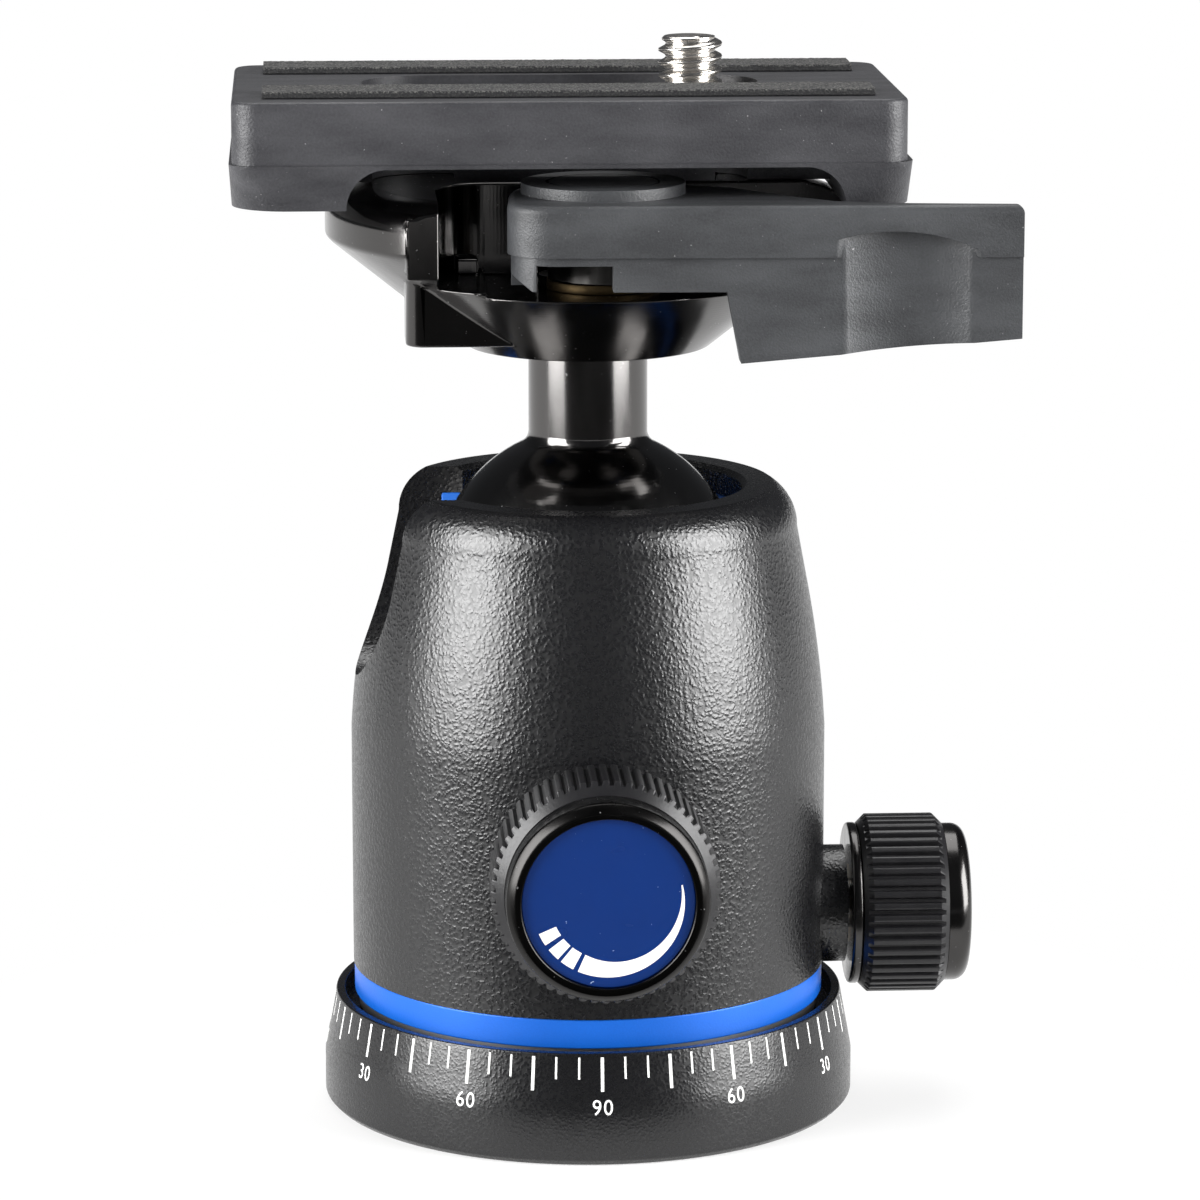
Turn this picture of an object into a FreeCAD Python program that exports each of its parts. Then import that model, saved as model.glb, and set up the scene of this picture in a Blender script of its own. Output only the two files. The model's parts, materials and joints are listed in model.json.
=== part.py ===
import FreeCAD
import Part
import math
import os

# Tripod ball head, in millimetres. +Z is up, the origin is the centre of the base's underside.
# The ball lock knob faces -Y, the panning lock knob faces +X, the drop notch faces -X.

V = FreeCAD.Vector
UP = V(0, 0, 1)
ALONG_X = V(1, 0, 0)
ALONG_Y = V(0, 1, 0)

# Panning base
BASE_R = 26.8
BASE_TOP_R = 25.6
BASE_LIP_R = 24.7
BASE_CONE_Z = 4.65
BASE_TOP_Z = 11.1
BASE_DECK_Z = 9.0
BASE_CHAMFER = 0.6
FLANGE_R = 17.0
FLANGE_T = 4.0
SPINDLE_R = 10.0
THREAD_NECK_R = 8.0
SOCKET_R = 4.76
SOCKET_DEPTH = 10.0
BUSH_R = 7.0
BUSH_LENGTH = 11.0
BASE_SCREW_CIRCLE = 13.6
THRUST_T = 0.6
DRUM_R = 13.0
DRUM_TOP_Z = 22.4

# Ball housing
HOUSING_R = 23.85
HOUSING_BOTTOM_Z = 14.0
HOUSING_SHOULDER_Z = 38.5
HOUSING_TOP_Z = 63.0
RIM_OUTER_R = 18.5
RIM_INNER_R = 15.4
LIP_Z = 60.3
LOWER_BORE_R = 20.4
BALL_BORE_R = 17.2
BORE_STEP_Z = 24.0
BLUE_RING_R = 23.75
BLUE_RING_BOTTOM_Z = 11.0
FLOOR_FLANGE_R = 23.3
FLOOR_DECK_Z = 15.5
FLOOR_CUP_R = 14.0
WEDGE_PLATE_T = 1.2
FLOOR_SCREW_CIRCLE = 21.6

# Ball and its seats
BALL_Z = 53.0
BALL_R = 15.5
SEAT_SPHERE_R = 15.65
STEM_R = 5.93
STEM_TOP_Z = 77.0
STEM_FILLET = 1.5
SPIGOT_R = 5.0
SPIGOT_H = 1.5
NOTCH_HALF = 9.3
UPPER_SEAT_Z = 54.0
LOWER_SEAT_Z = 41.5
LOWER_SEAT_TOP_Z = 45.5
SEAT_R = 16.9

# Ball lock: knob, screw, wedge and lifter
MAIN_Z = 29.1
MAIN_SCREW_R = 3.0
MAIN_GRIP_R = 11.0
MAIN_TEETH = 60
MAIN_GRIP_BACK = 24.4
MAIN_GRIP_FRONT = 33.5
MAIN_RING_R = 9.75
MAIN_FACE = 37.0
BADGE_R = 8.25
BADGE_FACE = 36.5
BADGE_T = 0.8
WEDGE_SLOPE = 0.3
WEDGE_HALF = 8.0
WEDGE_FRONT = -8.0
WEDGE_BACK = 12.0
WEDGE_MID_Z = 32.0

# Panning lock
PAN_Z = 19.1
PAN_SCREW_R = 2.5
PAN_NECK_R = 5.95
PAN_NECK_X = 26.0
PAN_FLANGE_R = 8.2
PAN_GRIP_R = 9.05
PAN_TEETH = 46
PAN_GRIP_X = 27.4
PAN_GRIP_END = 36.0
PAN_CAP_R = 8.0
PAN_CAP_END = 38.4

# Quick release clamp
CLAMP_BOTTOM_R = 12.0
CLAMP_CONE_R = 25.5
CLAMP_CONE_Z = 87.8
CLAMP_R = 26.0
CLAMP_WALL_Z = 90.4
CLAMP_TOP_R = 21.5
CLAMP_TOP_Z = 93.3
SHELF_Z = 84.2
POCKET_LEFT = -15.2
POCKET_BACK = -1.6
CAVITY_HALF = 13.05
CAVITY_FRONT = -0.75
CAVITY_BACK = 15.05
CAVITY_Z = 88.3
EAR_X = -18.3
EAR_FRONT = -18.4
EAR_STEP_Z = 86.0
BOLT_R = 2.5
BOLT_HEAD_R = 5.0
PIVOT_X = 0.9
PIVOT_Y = -11.0
PIVOT_R = 2.0
CAM_R = 6.4
CAM_OFFSET = 1.2
CAM_PHASE = 30.0
PIVOT_WASHER_R = 5.5
JAW_TOP_Z = 92.3
JAW_HALF = 3.5

# Lever
LEVER_BOTTOM_Z = 85.2
LEVER_CREASE_Z = 88.5
LEVER_TOP_Z = 93.5
LEVER_BOSS_Z = 94.6
LEVER_BOSS_R = 8.0
LEVER_CAP_R = 5.4
LEVER_END_X = 40.4
LEVER_STEP = 0.35
LEVER_ROUND = 0.8

# Camera plate
PLATE_LEFT = -35.2
PLATE_RIGHT = 30.5
PLATE_HALF_Y = 17.7
PLATE_BOTTOM_Z = 92.6
PLATE_BAND_Z = 97.0
PLATE_TOP_Z = 103.05
PLATE_DRAFT = 0.7
PLATE_CORNER = 2.5
SKIRT_CORNER = 5.5
PLATE_ROUND = 0.45
ARCH_TOP_Z = 96.6
ARCH_HALF_TOP = 20.3
ARCH_HALF_BOTTOM = 24.0
PLATE_REST_Z = 93.35
KEY_HALF = 13.0
KEY_FRONT = 2.6
KEY_BACK = 15.0
KEY_BOTTOM_Z = 88.4
PAD_LEFT = -32.0
PAD_RIGHT = 27.0
PAD_IN = 8.0
PAD_OUT = 14.3
PAD_T = 0.75
SCREW_X = 10.1
SCREW_R = 3.175
SCREW_TOP_Z = 107.5
SCREW_NECK_R = 2.5
SCREW_THREAD_Z = 102.4
WASHER_R = 6.4
WASHER_Z = 101.8
WASHER_T = 0.5
SLOT_R = 6.6
SLOT_LEFT = -15.7
SLOT_RIGHT = 10.15
SLOT_NECK = 3.45
SLOT_UNDER = 5.7

CLEARANCE = 0.05
RUNNING = 0.06

volumes = {}


def write(name, shape):
    """Write one sub-part's STEP file."""
    shape.exportStep("parts/" + name + ".step")
    volumes[name] = shape.Volume


def disc(radius, low, high, x=0.0, y=0.0):
    """An upright cylinder."""
    return Part.makeCylinder(radius, high - low, V(x, y, low), UP)


def rod(radius, start, end, axis):
    """A cylinder along X or Y at the height of its knob."""
    height = PAN_Z if axis == ALONG_X else MAIN_Z
    return Part.makeCylinder(radius, end - start, axis * start + V(0, 0, height), axis)


def tube(outer, inner, low, high):
    """An upright ring of square section."""
    return disc(outer, low, high).cut(disc(inner, low, high))


def block(low, high):
    """A box between two corners."""
    size = V(*high) - V(*low)
    return Part.makeBox(size.x, size.y, size.z, V(*low))


def outline(points):
    """A closed wire through points, straight from each to the next."""
    return Part.makePolygon(list(points) + [points[0]])


def turned(edges):
    """A solid turned about the Z axis from a closed half section in the XZ plane."""
    face = Part.Face(Part.Wire(edges))
    return face.revolve(V(0, 0, 0), UP, 360)


def section(points):
    """Straight edges of a half section, from (radius, height) pairs."""
    return outline([V(r, 0, z) for r, z in points]).Edges


def arc(a, b, c):
    """An arc in the XZ plane through three (radius, height) pairs."""
    return Part.Arc(V(a[0], 0, a[1]), V(b[0], 0, b[1]), V(c[0], 0, c[1])).toShape()


def line(a, b):
    """A straight edge in the XZ plane."""
    return Part.makeLine(V(a[0], 0, a[1]), V(b[0], 0, b[1]))


def around(shape, count, first=0.0):
    """Copies of a shape spread evenly about the Z axis."""
    copies = []
    for i in range(count):
        copy = shape.copy()
        copy.rotate(V(0, 0, 0), UP, first + 360.0 * i / count)
        copies.append(copy)
    return copies


def joined(shapes):
    """One solid from several that overlap or meet."""
    return shapes[0].multiFuse(shapes[1:]).removeSplitter()


def toothed(radius, depth, count, start, length):
    """A gear-like grip along Z: trapezoid teeth cut into a cylinder."""
    points = []
    step = 2 * math.pi / count
    for i in range(count):
        for share, r in ((0.0, radius), (0.5, radius), (0.62, radius - depth), (0.88, radius - depth)):
            angle = (i + share) * step
            points.append(V(r * math.cos(angle), r * math.sin(angle), start))
    return Part.Face(outline(points)).extrude(UP * length)


def scale_base():
    """The ring with the panning scale; the housing turns on its deck."""
    profile = section([
        (0, 0), (BASE_R - BASE_CHAMFER, 0), (BASE_R, BASE_CHAMFER), (BASE_R, BASE_CONE_Z),
        (BASE_TOP_R, BASE_TOP_Z), (BASE_LIP_R, BASE_TOP_Z), (BASE_LIP_R, BASE_DECK_Z),
        (0, BASE_DECK_Z),
    ])
    ring = turned(profile)
    ring = ring.cut(disc(FLANGE_R, 0, FLANGE_T))
    ring = ring.cut(disc(SPINDLE_R, 0, BASE_DECK_Z))
    return ring.cut(Part.makeCompound(base_screw_shapes()))


def base_screw_shapes():
    """Three countersunk screws that hold the spindle's flange in the base."""
    head_r = 2.6
    head_t = 1.6
    shank_r = 1.5
    screw = Part.makeCone(head_r, shank_r, head_t, V(BASE_SCREW_CIRCLE, 0, 0), UP)
    screw = joined([screw, disc(shank_r, head_t / 2, 8.0, BASE_SCREW_CIRCLE)])
    return around(screw, 3, 90)


def pan_spindle():
    """The steel spindle: a flange under the base, a journal and a threaded neck."""
    spindle = joined([
        disc(FLANGE_R, 0, FLANGE_T),
        disc(SPINDLE_R, 0, FLOOR_DECK_Z),
        disc(THREAD_NECK_R, 0, DRUM_TOP_Z),
    ])
    spindle = spindle.cut(disc(BUSH_R, 0, BUSH_LENGTH))
    return spindle.cut(Part.makeCompound(base_screw_shapes()))


def tripod_bush():
    """The pressed-in bush with the tripod thread."""
    return disc(BUSH_R, 0, BUSH_LENGTH).cut(disc(SOCKET_R, 0, SOCKET_DEPTH))


def housing_outer():
    """The housing's outside, turned: a straight skirt, a long shoulder and a rounded rim."""
    skirt_low = (HOUSING_R, HOUSING_BOTTOM_Z)
    skirt_high = (HOUSING_R, HOUSING_SHOULDER_Z)
    shoulder_mid = (HOUSING_R - 0.55, HOUSING_SHOULDER_Z + 6.2)
    shoulder = (HOUSING_R - 1.85, BALL_Z)
    rim_start = (HOUSING_R - 2.9, BALL_Z + 5.6)
    rim_mid = (HOUSING_R - 3.75, HOUSING_TOP_Z - 1.5)
    rim = (RIM_OUTER_R, HOUSING_TOP_Z)
    return turned([
        line((0, HOUSING_BOTTOM_Z), skirt_low),
        line(skirt_low, skirt_high),
        arc(skirt_high, shoulder_mid, shoulder),
        line(shoulder, rim_start),
        arc(rim_start, rim_mid, rim),
        line(rim, (0, HOUSING_TOP_Z)),
        line((0, HOUSING_TOP_Z), (0, HOUSING_BOTTOM_Z)),
    ])


def notch(half, inner_x):
    """The cutter for the drop notch: a round-bottomed slot open at the top, towards -X."""
    reach = 30.0
    bottom = Part.makeCylinder(half, reach + inner_x, V(-reach, 0, BALL_Z), ALONG_X)
    return joined([bottom, block((-reach, -half, BALL_Z), (inner_x, half, HOUSING_TOP_Z + 2))])


def ball_housing():
    """The cast housing with both bores, the knob holes, the panning neck and the drop notch."""
    edge = 0.5
    body = joined([housing_outer(), rod(PAN_NECK_R, HOUSING_R - 3, PAN_NECK_X, ALONG_X)])
    bores = joined([
        disc(LOWER_BORE_R, HOUSING_BOTTOM_Z, BORE_STEP_Z),
        disc(BALL_BORE_R, HOUSING_BOTTOM_Z, LIP_Z),
        disc(RIM_INNER_R, HOUSING_BOTTOM_Z, HOUSING_TOP_Z),
        Part.makeCone(RIM_INNER_R, RIM_INNER_R + edge, edge, V(0, 0, HOUSING_TOP_Z - edge), UP),
    ])
    body = body.cut(bores).cut(notch(NOTCH_HALF, -10))
    body = body.cut(rod(5.0, -30, 0, ALONG_Y))
    body = body.cut(rod(4.0, 15, 30, ALONG_X))
    body = body.cut(disc(HOUSING_R, BLUE_RING_BOTTOM_Z, HOUSING_BOTTOM_Z))
    return body.cut(Part.makeCompound(floor_screw_shapes()))


def floor_screw_shapes():
    """Three small screws from below, through the floor's flange into the housing wall."""
    head = disc(1.6, 9.8, 10.9, FLOOR_SCREW_CIRCLE)
    shank = disc(1.0, 10.9, 19.0, FLOOR_SCREW_CIRCLE)
    return around(joined([head, shank]), 3, 60)


def housing_floor():
    """The floor that closes the housing from below, with a cup round the brake drum."""
    floor = joined([
        disc(FLOOR_FLANGE_R, BASE_DECK_Z + THRUST_T, BLUE_RING_BOTTOM_Z),
        disc(LOWER_BORE_R, BASE_DECK_Z + THRUST_T, BORE_STEP_Z - WEDGE_PLATE_T),
    ])
    floor = floor.cut(disc(FLOOR_CUP_R, FLOOR_DECK_Z, BORE_STEP_Z))
    floor = floor.cut(disc(SPINDLE_R + RUNNING, 0, FLOOR_DECK_Z))
    floor = floor.cut(rod(PAN_SCREW_R + RUNNING, 10, 22, ALONG_X))
    return floor.cut(Part.makeCompound(floor_screw_shapes()))


def blue_ring():
    """The anodised trim ring between the base and the housing."""
    ring = tube(BLUE_RING_R, LOWER_BORE_R, BLUE_RING_BOTTOM_Z, HOUSING_BOTTOM_Z)
    return ring.cut(Part.makeCompound(floor_screw_shapes()))


def upper_seat():
    """The seat that the ball is pressed up against, open at the drop notch."""
    seat = disc(BALL_BORE_R, UPPER_SEAT_Z, LIP_Z)
    seat = seat.cut(Part.makeSphere(SEAT_SPHERE_R, V(0, 0, BALL_Z)))
    return seat.cut(notch(NOTCH_HALF, -5))


def lower_seat():
    """The seat ring under the ball."""
    seat = disc(SEAT_R, LOWER_SEAT_Z, LOWER_SEAT_TOP_Z)
    seat = seat.cut(disc(10.0, LOWER_SEAT_Z - 1, LOWER_SEAT_TOP_Z))
    return seat.cut(Part.makeSphere(SEAT_SPHERE_R, V(0, 0, BALL_Z)))


def under_slope(gap):
    """Everything under the wedge's slope, within its width, as a prism along X."""
    low = WEDGE_FRONT - 12
    high = WEDGE_BACK + 8
    half = WEDGE_HALF + gap
    slope_low = WEDGE_MID_Z + gap - WEDGE_SLOPE * low
    slope_high = WEDGE_MID_Z + gap - WEDGE_SLOPE * high
    wire = outline([
        V(-half, low, BORE_STEP_Z), V(-half, high, BORE_STEP_Z),
        V(-half, high, slope_high), V(-half, low, slope_low),
    ])
    return Part.Face(wire).extrude(ALONG_X * 2 * half)


def lock_wedge():
    """The wedge that the ball lock screw pushes in."""
    wedge = under_slope(0)
    return wedge.common(block((-WEDGE_HALF, WEDGE_FRONT, BORE_STEP_Z + CLEARANCE),
                              (WEDGE_HALF, WEDGE_BACK, 40)))


def seat_lifter():
    """The piston between the wedge and the lower seat."""
    piston = disc(SEAT_R, 30.0, LOWER_SEAT_Z)
    piston = piston.cut(Part.makeSphere(BALL_R + 0.4, V(0, 0, BALL_Z)))
    piston = piston.cut(block((-4, WEDGE_BACK, BORE_STEP_Z), (4, 18, WEDGE_MID_Z)))
    return piston.cut(under_slope(CLEARANCE))


def coil(radius, wire_r, turns, length):
    """A compression spring along Z from the origin: one unbroken round wire."""
    path = Part.makeHelix(length / turns, length, radius)
    ring = Part.Wire(Part.makeCircle(wire_r, V(radius, 0, 0), ALONG_Y))
    return Part.Wire(path).makePipeShell([ring], True, True)


def wedge_spring():
    """The spring behind the wedge, which pushes it back as the knob is loosened."""
    spring = coil(2.4, 0.35, 5, 4.0)
    spring.rotate(V(0, 0, 0), ALONG_X, -90)
    spring.translate(V(0, WEDGE_BACK + 0.5, 28.0))
    return spring


def ball_stem():
    """The ball and its stem in one piece, with a spigot for the clamp."""
    ball = Part.makeSphere(BALL_R, V(0, 0, BALL_Z))
    stem = disc(STEM_R, BALL_Z, STEM_TOP_Z)
    meet = BALL_Z + math.sqrt(BALL_R ** 2 - STEM_R ** 2)
    whole = joined([ball, stem])
    root = [e for e in whole.Edges if e.BoundBox.ZLength < 0.01 and abs(e.BoundBox.ZMin - meet) < 0.1]
    whole = whole.makeFillet(STEM_FILLET, root)
    whole = whole.fuse(disc(SPIGOT_R, STEM_TOP_Z, STEM_TOP_Z + SPIGOT_H))
    return whole.cut(disc(BOLT_R + RUNNING, 66, 80))


def main_bush():
    """The brass bush that the ball lock screw runs in."""
    bush = rod(5.0, -HOUSING_R - 0.1, -BALL_BORE_R - 0.1, ALONG_Y)
    return bush.cut(rod(MAIN_SCREW_R + RUNNING, -30, 0, ALONG_Y))


def facing_front(shape):
    """Turn a shape built along Z so that it points to -Y at the ball lock's height."""
    shape.rotate(V(0, 0, 0), ALONG_X, 90)
    shape.translate(V(0, 0, MAIN_Z))
    return shape


def facing_right(shape):
    """Turn a shape built along Z so that it points to +X at the panning lock's height."""
    shape.rotate(V(0, 0, 0), ALONG_Y, 90)
    shape.translate(V(0, 0, PAN_Z))
    return shape


def main_grip():
    """The toothed grip of the ball lock knob, with bevelled ends."""
    bevel = 1.2
    depth = 0.45
    length = MAIN_GRIP_FRONT - MAIN_GRIP_BACK
    grip = toothed(MAIN_GRIP_R, depth, MAIN_TEETH, MAIN_GRIP_BACK, length)
    blank = turned(section([
        (0, MAIN_GRIP_BACK), (MAIN_GRIP_R - bevel, MAIN_GRIP_BACK),
        (MAIN_GRIP_R, MAIN_GRIP_BACK + bevel), (MAIN_GRIP_R, MAIN_GRIP_FRONT - bevel),
        (MAIN_GRIP_R - bevel, MAIN_GRIP_FRONT), (0, MAIN_GRIP_FRONT),
    ]))
    grip = grip.common(blank)
    return facing_front(grip.cut(disc(MAIN_SCREW_R, MAIN_GRIP_BACK, MAIN_GRIP_FRONT - 2)))


def main_ring():
    """The smooth front shell of the ball lock knob, with a recess for the badge."""
    shell = turned(section([
        (0, MAIN_GRIP_FRONT), (MAIN_RING_R, MAIN_GRIP_FRONT), (MAIN_RING_R, MAIN_FACE - 0.8),
        (MAIN_RING_R - 0.8, MAIN_FACE), (0, MAIN_FACE),
    ]))
    return facing_front(shell.cut(disc(BADGE_R, BADGE_FACE - BADGE_T, MAIN_FACE)))


def main_badge():
    """The blue disc in the ball lock knob."""
    return facing_front(disc(BADGE_R, BADGE_FACE - BADGE_T, BADGE_FACE))


def main_screw():
    """The ball lock screw, pressed into the grip."""
    return rod(MAIN_SCREW_R, -MAIN_GRIP_FRONT + 2, WEDGE_FRONT - CLEARANCE, ALONG_Y)


def pan_bush():
    """The brass bush that the panning lock screw runs in."""
    bush = rod(4.0, LOWER_BORE_R + 0.1, PAN_NECK_X, ALONG_X)
    return bush.cut(rod(PAN_SCREW_R + RUNNING, 10, 30, ALONG_X))


def pan_flange():
    """The plain collar behind the panning knob."""
    collar = tube(PAN_FLANGE_R, PAN_SCREW_R, PAN_NECK_X + 0.3, PAN_GRIP_X)
    return facing_right(collar)


def pan_grip():
    """The toothed grip of the panning knob."""
    bevel = 0.9
    depth = 0.5
    grip = toothed(PAN_GRIP_R, depth, PAN_TEETH, PAN_GRIP_X, PAN_GRIP_END - PAN_GRIP_X)
    blank = turned(section([
        (0, PAN_GRIP_X), (PAN_GRIP_R - bevel, PAN_GRIP_X), (PAN_GRIP_R, PAN_GRIP_X + bevel),
        (PAN_GRIP_R, PAN_GRIP_END - bevel), (PAN_GRIP_R - bevel, PAN_GRIP_END), (0, PAN_GRIP_END),
    ]))
    grip = grip.common(blank)
    return facing_right(grip.cut(disc(PAN_SCREW_R, PAN_GRIP_X, PAN_GRIP_END - 2)))


def pan_cap():
    """The rounded end cap of the panning knob."""
    round_r = 1.4
    cap = disc(PAN_CAP_R, PAN_GRIP_END, PAN_CAP_END)
    rim = [e for e in cap.Edges if e.BoundBox.ZMin > PAN_CAP_END - 0.01]
    return facing_right(cap.makeFillet(round_r, rim))


def pan_screw():
    """The panning lock screw, pressed into the grip."""
    return rod(PAN_SCREW_R, 18.0, PAN_GRIP_END - 2, ALONG_X)


def pan_brake_shoe():
    """The shoe that the panning screw presses on the drum."""
    shoe = rod(PAN_SCREW_R, DRUM_R - 1, 18.0 - CLEARANCE, ALONG_X)
    return shoe.cut(disc(DRUM_R + CLEARANCE, 10, 30))


def clamp_bowl():
    """The clamp's outside, turned: a flat foot, a cone, a short wall and a round shoulder."""
    foot = (CLAMP_BOTTOM_R, STEM_TOP_Z)
    cone = (CLAMP_CONE_R, CLAMP_CONE_Z)
    wall_low = (CLAMP_R, CLAMP_CONE_Z + 0.5)
    wall_high = (CLAMP_R, CLAMP_WALL_Z)
    shoulder = (CLAMP_R - 0.55, CLAMP_WALL_Z + 1.35)
    shoulder_end = (CLAMP_R - 1.8, CLAMP_WALL_Z + 2.0)
    top = (CLAMP_TOP_R, CLAMP_TOP_Z)
    return turned([
        line((0, STEM_TOP_Z), foot),
        line(foot, cone),
        line(cone, wall_low),
        line(wall_low, wall_high),
        arc(wall_high, shoulder, shoulder_end),
        line(shoulder_end, top),
        line(top, (0, CLAMP_TOP_Z)),
        line((0, CLAMP_TOP_Z), (0, STEM_TOP_Z)),
    ])


def lever_pocket():
    """The cutter for the lever's pocket: open to the front and right, round at its left corner."""
    corner = 5.0
    reach = 30.0
    a = POCKET_LEFT
    b = POCKET_BACK
    wire = Part.Wire([
        Part.makeLine(V(a, -reach, SHELF_Z), V(a, b - corner, SHELF_Z)),
        Part.Arc(V(a, b - corner, SHELF_Z),
                 V(a + corner * (1 - math.sqrt(0.5)), b - corner * (1 - math.sqrt(0.5)), SHELF_Z),
                 V(a + corner, b, SHELF_Z)).toShape(),
        Part.makeLine(V(a + corner, b, SHELF_Z), V(reach, b, SHELF_Z)),
        Part.makeLine(V(reach, b, SHELF_Z), V(reach, -reach, SHELF_Z)),
        Part.makeLine(V(reach, -reach, SHELF_Z), V(a, -reach, SHELF_Z)),
    ])
    return Part.Face(wire).extrude(UP * 12)


def clamp_body():
    """The clamp's body, with the lever's pocket, the key's cavity and the left ear."""
    ear_low = Part.Face(outline([
        V(EAR_X, -14.2, EAR_STEP_Z), V(EAR_X, -14.2, 84.8), V(EAR_X, -11.8, 78.5),
        V(EAR_X, -5.0, 78.5), V(EAR_X, -5.0, EAR_STEP_Z),
    ])).extrude(ALONG_X * 12)
    ear_edges = [e for e in ear_low.Edges if e.BoundBox.XMax < EAR_X + 0.01 and e.BoundBox.YMax < -11.7]
    ear_low = ear_low.makeFillet(1.8, ear_edges)
    ear_high = block((EAR_X, EAR_FRONT, EAR_STEP_Z), (POCKET_LEFT, -9.0, 91.9))
    bowl = clamp_bowl()
    ledge = bowl.common(block((POCKET_LEFT, -18, SHELF_Z - 1), (-10.5, POCKET_BACK, SHELF_Z + 0.5)))
    body = bowl.cut(block((EAR_X, -30, SHELF_Z), (POCKET_LEFT + 1, EAR_FRONT, 95)))
    body = joined([body, ear_low, ear_high]).cut(lever_pocket())
    stop_lug = block((-13.2, -5.0, SHELF_Z - 1), (-11.0, -2.0, SHELF_Z + 2.0))
    body = joined([body, ledge, stop_lug])
    body = body.cut(block((-CAVITY_HALF, CAVITY_FRONT, CAVITY_Z), (CAVITY_HALF, CAVITY_BACK, 95)))
    channel = PIVOT_X - JAW_HALF - CLEARANCE, PIVOT_X + JAW_HALF + CLEARANCE
    body = body.cut(block((channel[0], POCKET_BACK - 1, CAVITY_Z), (channel[1], 0, 95)))
    body = body.cut(disc(BOLT_HEAD_R + 0.2, 80, CAVITY_Z))
    body = body.cut(disc(BOLT_R, 70, 81)).cut(disc(SPIGOT_R + RUNNING, 70, STEM_TOP_Z + SPIGOT_H))
    return body.cut(disc(PIVOT_R, 79.5, 95, PIVOT_X, PIVOT_Y))


def clamp_bolt():
    """The socket-head bolt that holds the clamp on the stem."""
    bolt = joined([disc(BOLT_R, 68, 81), disc(BOLT_HEAD_R, 80, 84)])
    hexagon = Part.makePolygon([
        V(2.5 * math.cos(math.radians(60 * i)), 2.5 * math.sin(math.radians(60 * i)), 82)
        for i in range(7)
    ])
    return bolt.cut(Part.Face(hexagon).extrude(UP * 3))


def pivot_pin():
    """The lever's pivot: a headed pin pressed into the clamp's body."""
    head_low = 93.15
    pin = disc(PIVOT_R, 79.5, head_low, PIVOT_X, PIVOT_Y)
    return joined([pin, disc(4.0, head_low, 93.75, PIVOT_X, PIVOT_Y)])


def pivot_washer():
    """The brass washer that the lever turns on."""
    washer = disc(PIVOT_WASHER_R, SHELF_Z, LEVER_BOTTOM_Z - CLEARANCE, PIVOT_X, PIVOT_Y)
    return washer.cut(disc(PIVOT_R, 80, 90, PIVOT_X, PIVOT_Y)).cut(disc(BOLT_HEAD_R + 0.2, 80, 90))


def clamp_jaw():
    """The sliding jaw that the cam pushes against the plate's key."""
    reach = CAM_OFFSET * math.sin(math.radians(CAM_PHASE)) + CAM_R
    tail_front = PIVOT_Y + reach + CLEARANCE
    tail = block((PIVOT_X - JAW_HALF, tail_front, CAVITY_Z + CLEARANCE),
                 (PIVOT_X + JAW_HALF, 1.0, JAW_TOP_Z))
    face = block((-CAVITY_HALF + 0.1, 0.5, CAVITY_Z + CLEARANCE),
                 (CAVITY_HALF - 0.1, KEY_FRONT - CLEARANCE, JAW_TOP_Z))
    return joined([tail, face])


def lever_cam():
    """The eccentric cam under the lever; its reach to +Y falls evenly as the lever opens."""
    phase = math.radians(CAM_PHASE)
    middle = PIVOT_X + CAM_OFFSET * math.cos(phase), PIVOT_Y + CAM_OFFSET * math.sin(phase)
    cam = disc(CAM_R, LEVER_BOTTOM_Z + CLEARANCE, 92.45, middle[0], middle[1])
    return cam.cut(disc(PIVOT_R + RUNNING, 80, 95, PIVOT_X, PIVOT_Y))


def lever_outline(inset, height):
    """The lever's plan, drawn in by inset: a round head and an arm that thins to the right."""
    def p(x, y):
        return V(x, y, height)

    head = 9.2 - inset
    left = p(PIVOT_X - head, PIVOT_Y)
    far = p(PIVOT_X + head * math.cos(math.radians(45)), PIVOT_Y + head * math.sin(math.radians(45)))
    top = p(PIVOT_X - head * math.cos(math.radians(67)), PIVOT_Y + head * math.sin(math.radians(67)))
    low_left = p(-8.65 + inset, -17.2)
    corner = p(-7.4 + inset, -20.4 + inset)
    low = p(-4.2, -21.7 + inset)
    tip_low = p(LEVER_END_X, -23.0 + inset)
    tip_high = p(LEVER_END_X, -21.2)
    wrist = [p(30.0, -20.1), p(23.0, -18.3), p(19.3, -14.6), p(14.0, -7.6)]
    edges = [
        Part.Arc(far, top, left).toShape(),
        Part.makeLine(left, low_left),
        Part.Arc(low_left, corner, low).toShape(),
        Part.makeLine(low, tip_low),
        Part.makeLine(tip_low, tip_high),
    ]
    chain = [tip_high] + wrist + [far]
    for a, b in zip(chain, chain[1:]):
        edges.append(Part.makeLine(a, b))
    return Part.Face(Part.Wire(edges))


def paddle():
    """The finger plate that hangs from the lever's arm, with a finger scoop in its face."""
    back = -19.4
    front = -24.0
    wire = outline([
        V(12.2, front, LEVER_CREASE_Z), V(12.2, front, LEVER_BOTTOM_Z),
        V(13.5, front, 78.3), V(LEVER_END_X, front, 80.6),
        V(LEVER_END_X, front, LEVER_CREASE_Z),
    ])
    slab = Part.Face(wire).extrude(ALONG_Y * (back - front))
    trim = lever_outline(LEVER_STEP, 70).extrude(UP * 20)
    near_side = Part.Face(outline([
        V(10, -21.0, 70), V(LEVER_END_X, -22.0, 70),
        V(LEVER_END_X, back, 70), V(10, back, 70),
    ])).extrude(UP * 20)
    return slab.common(joined([trim, near_side]))


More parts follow.
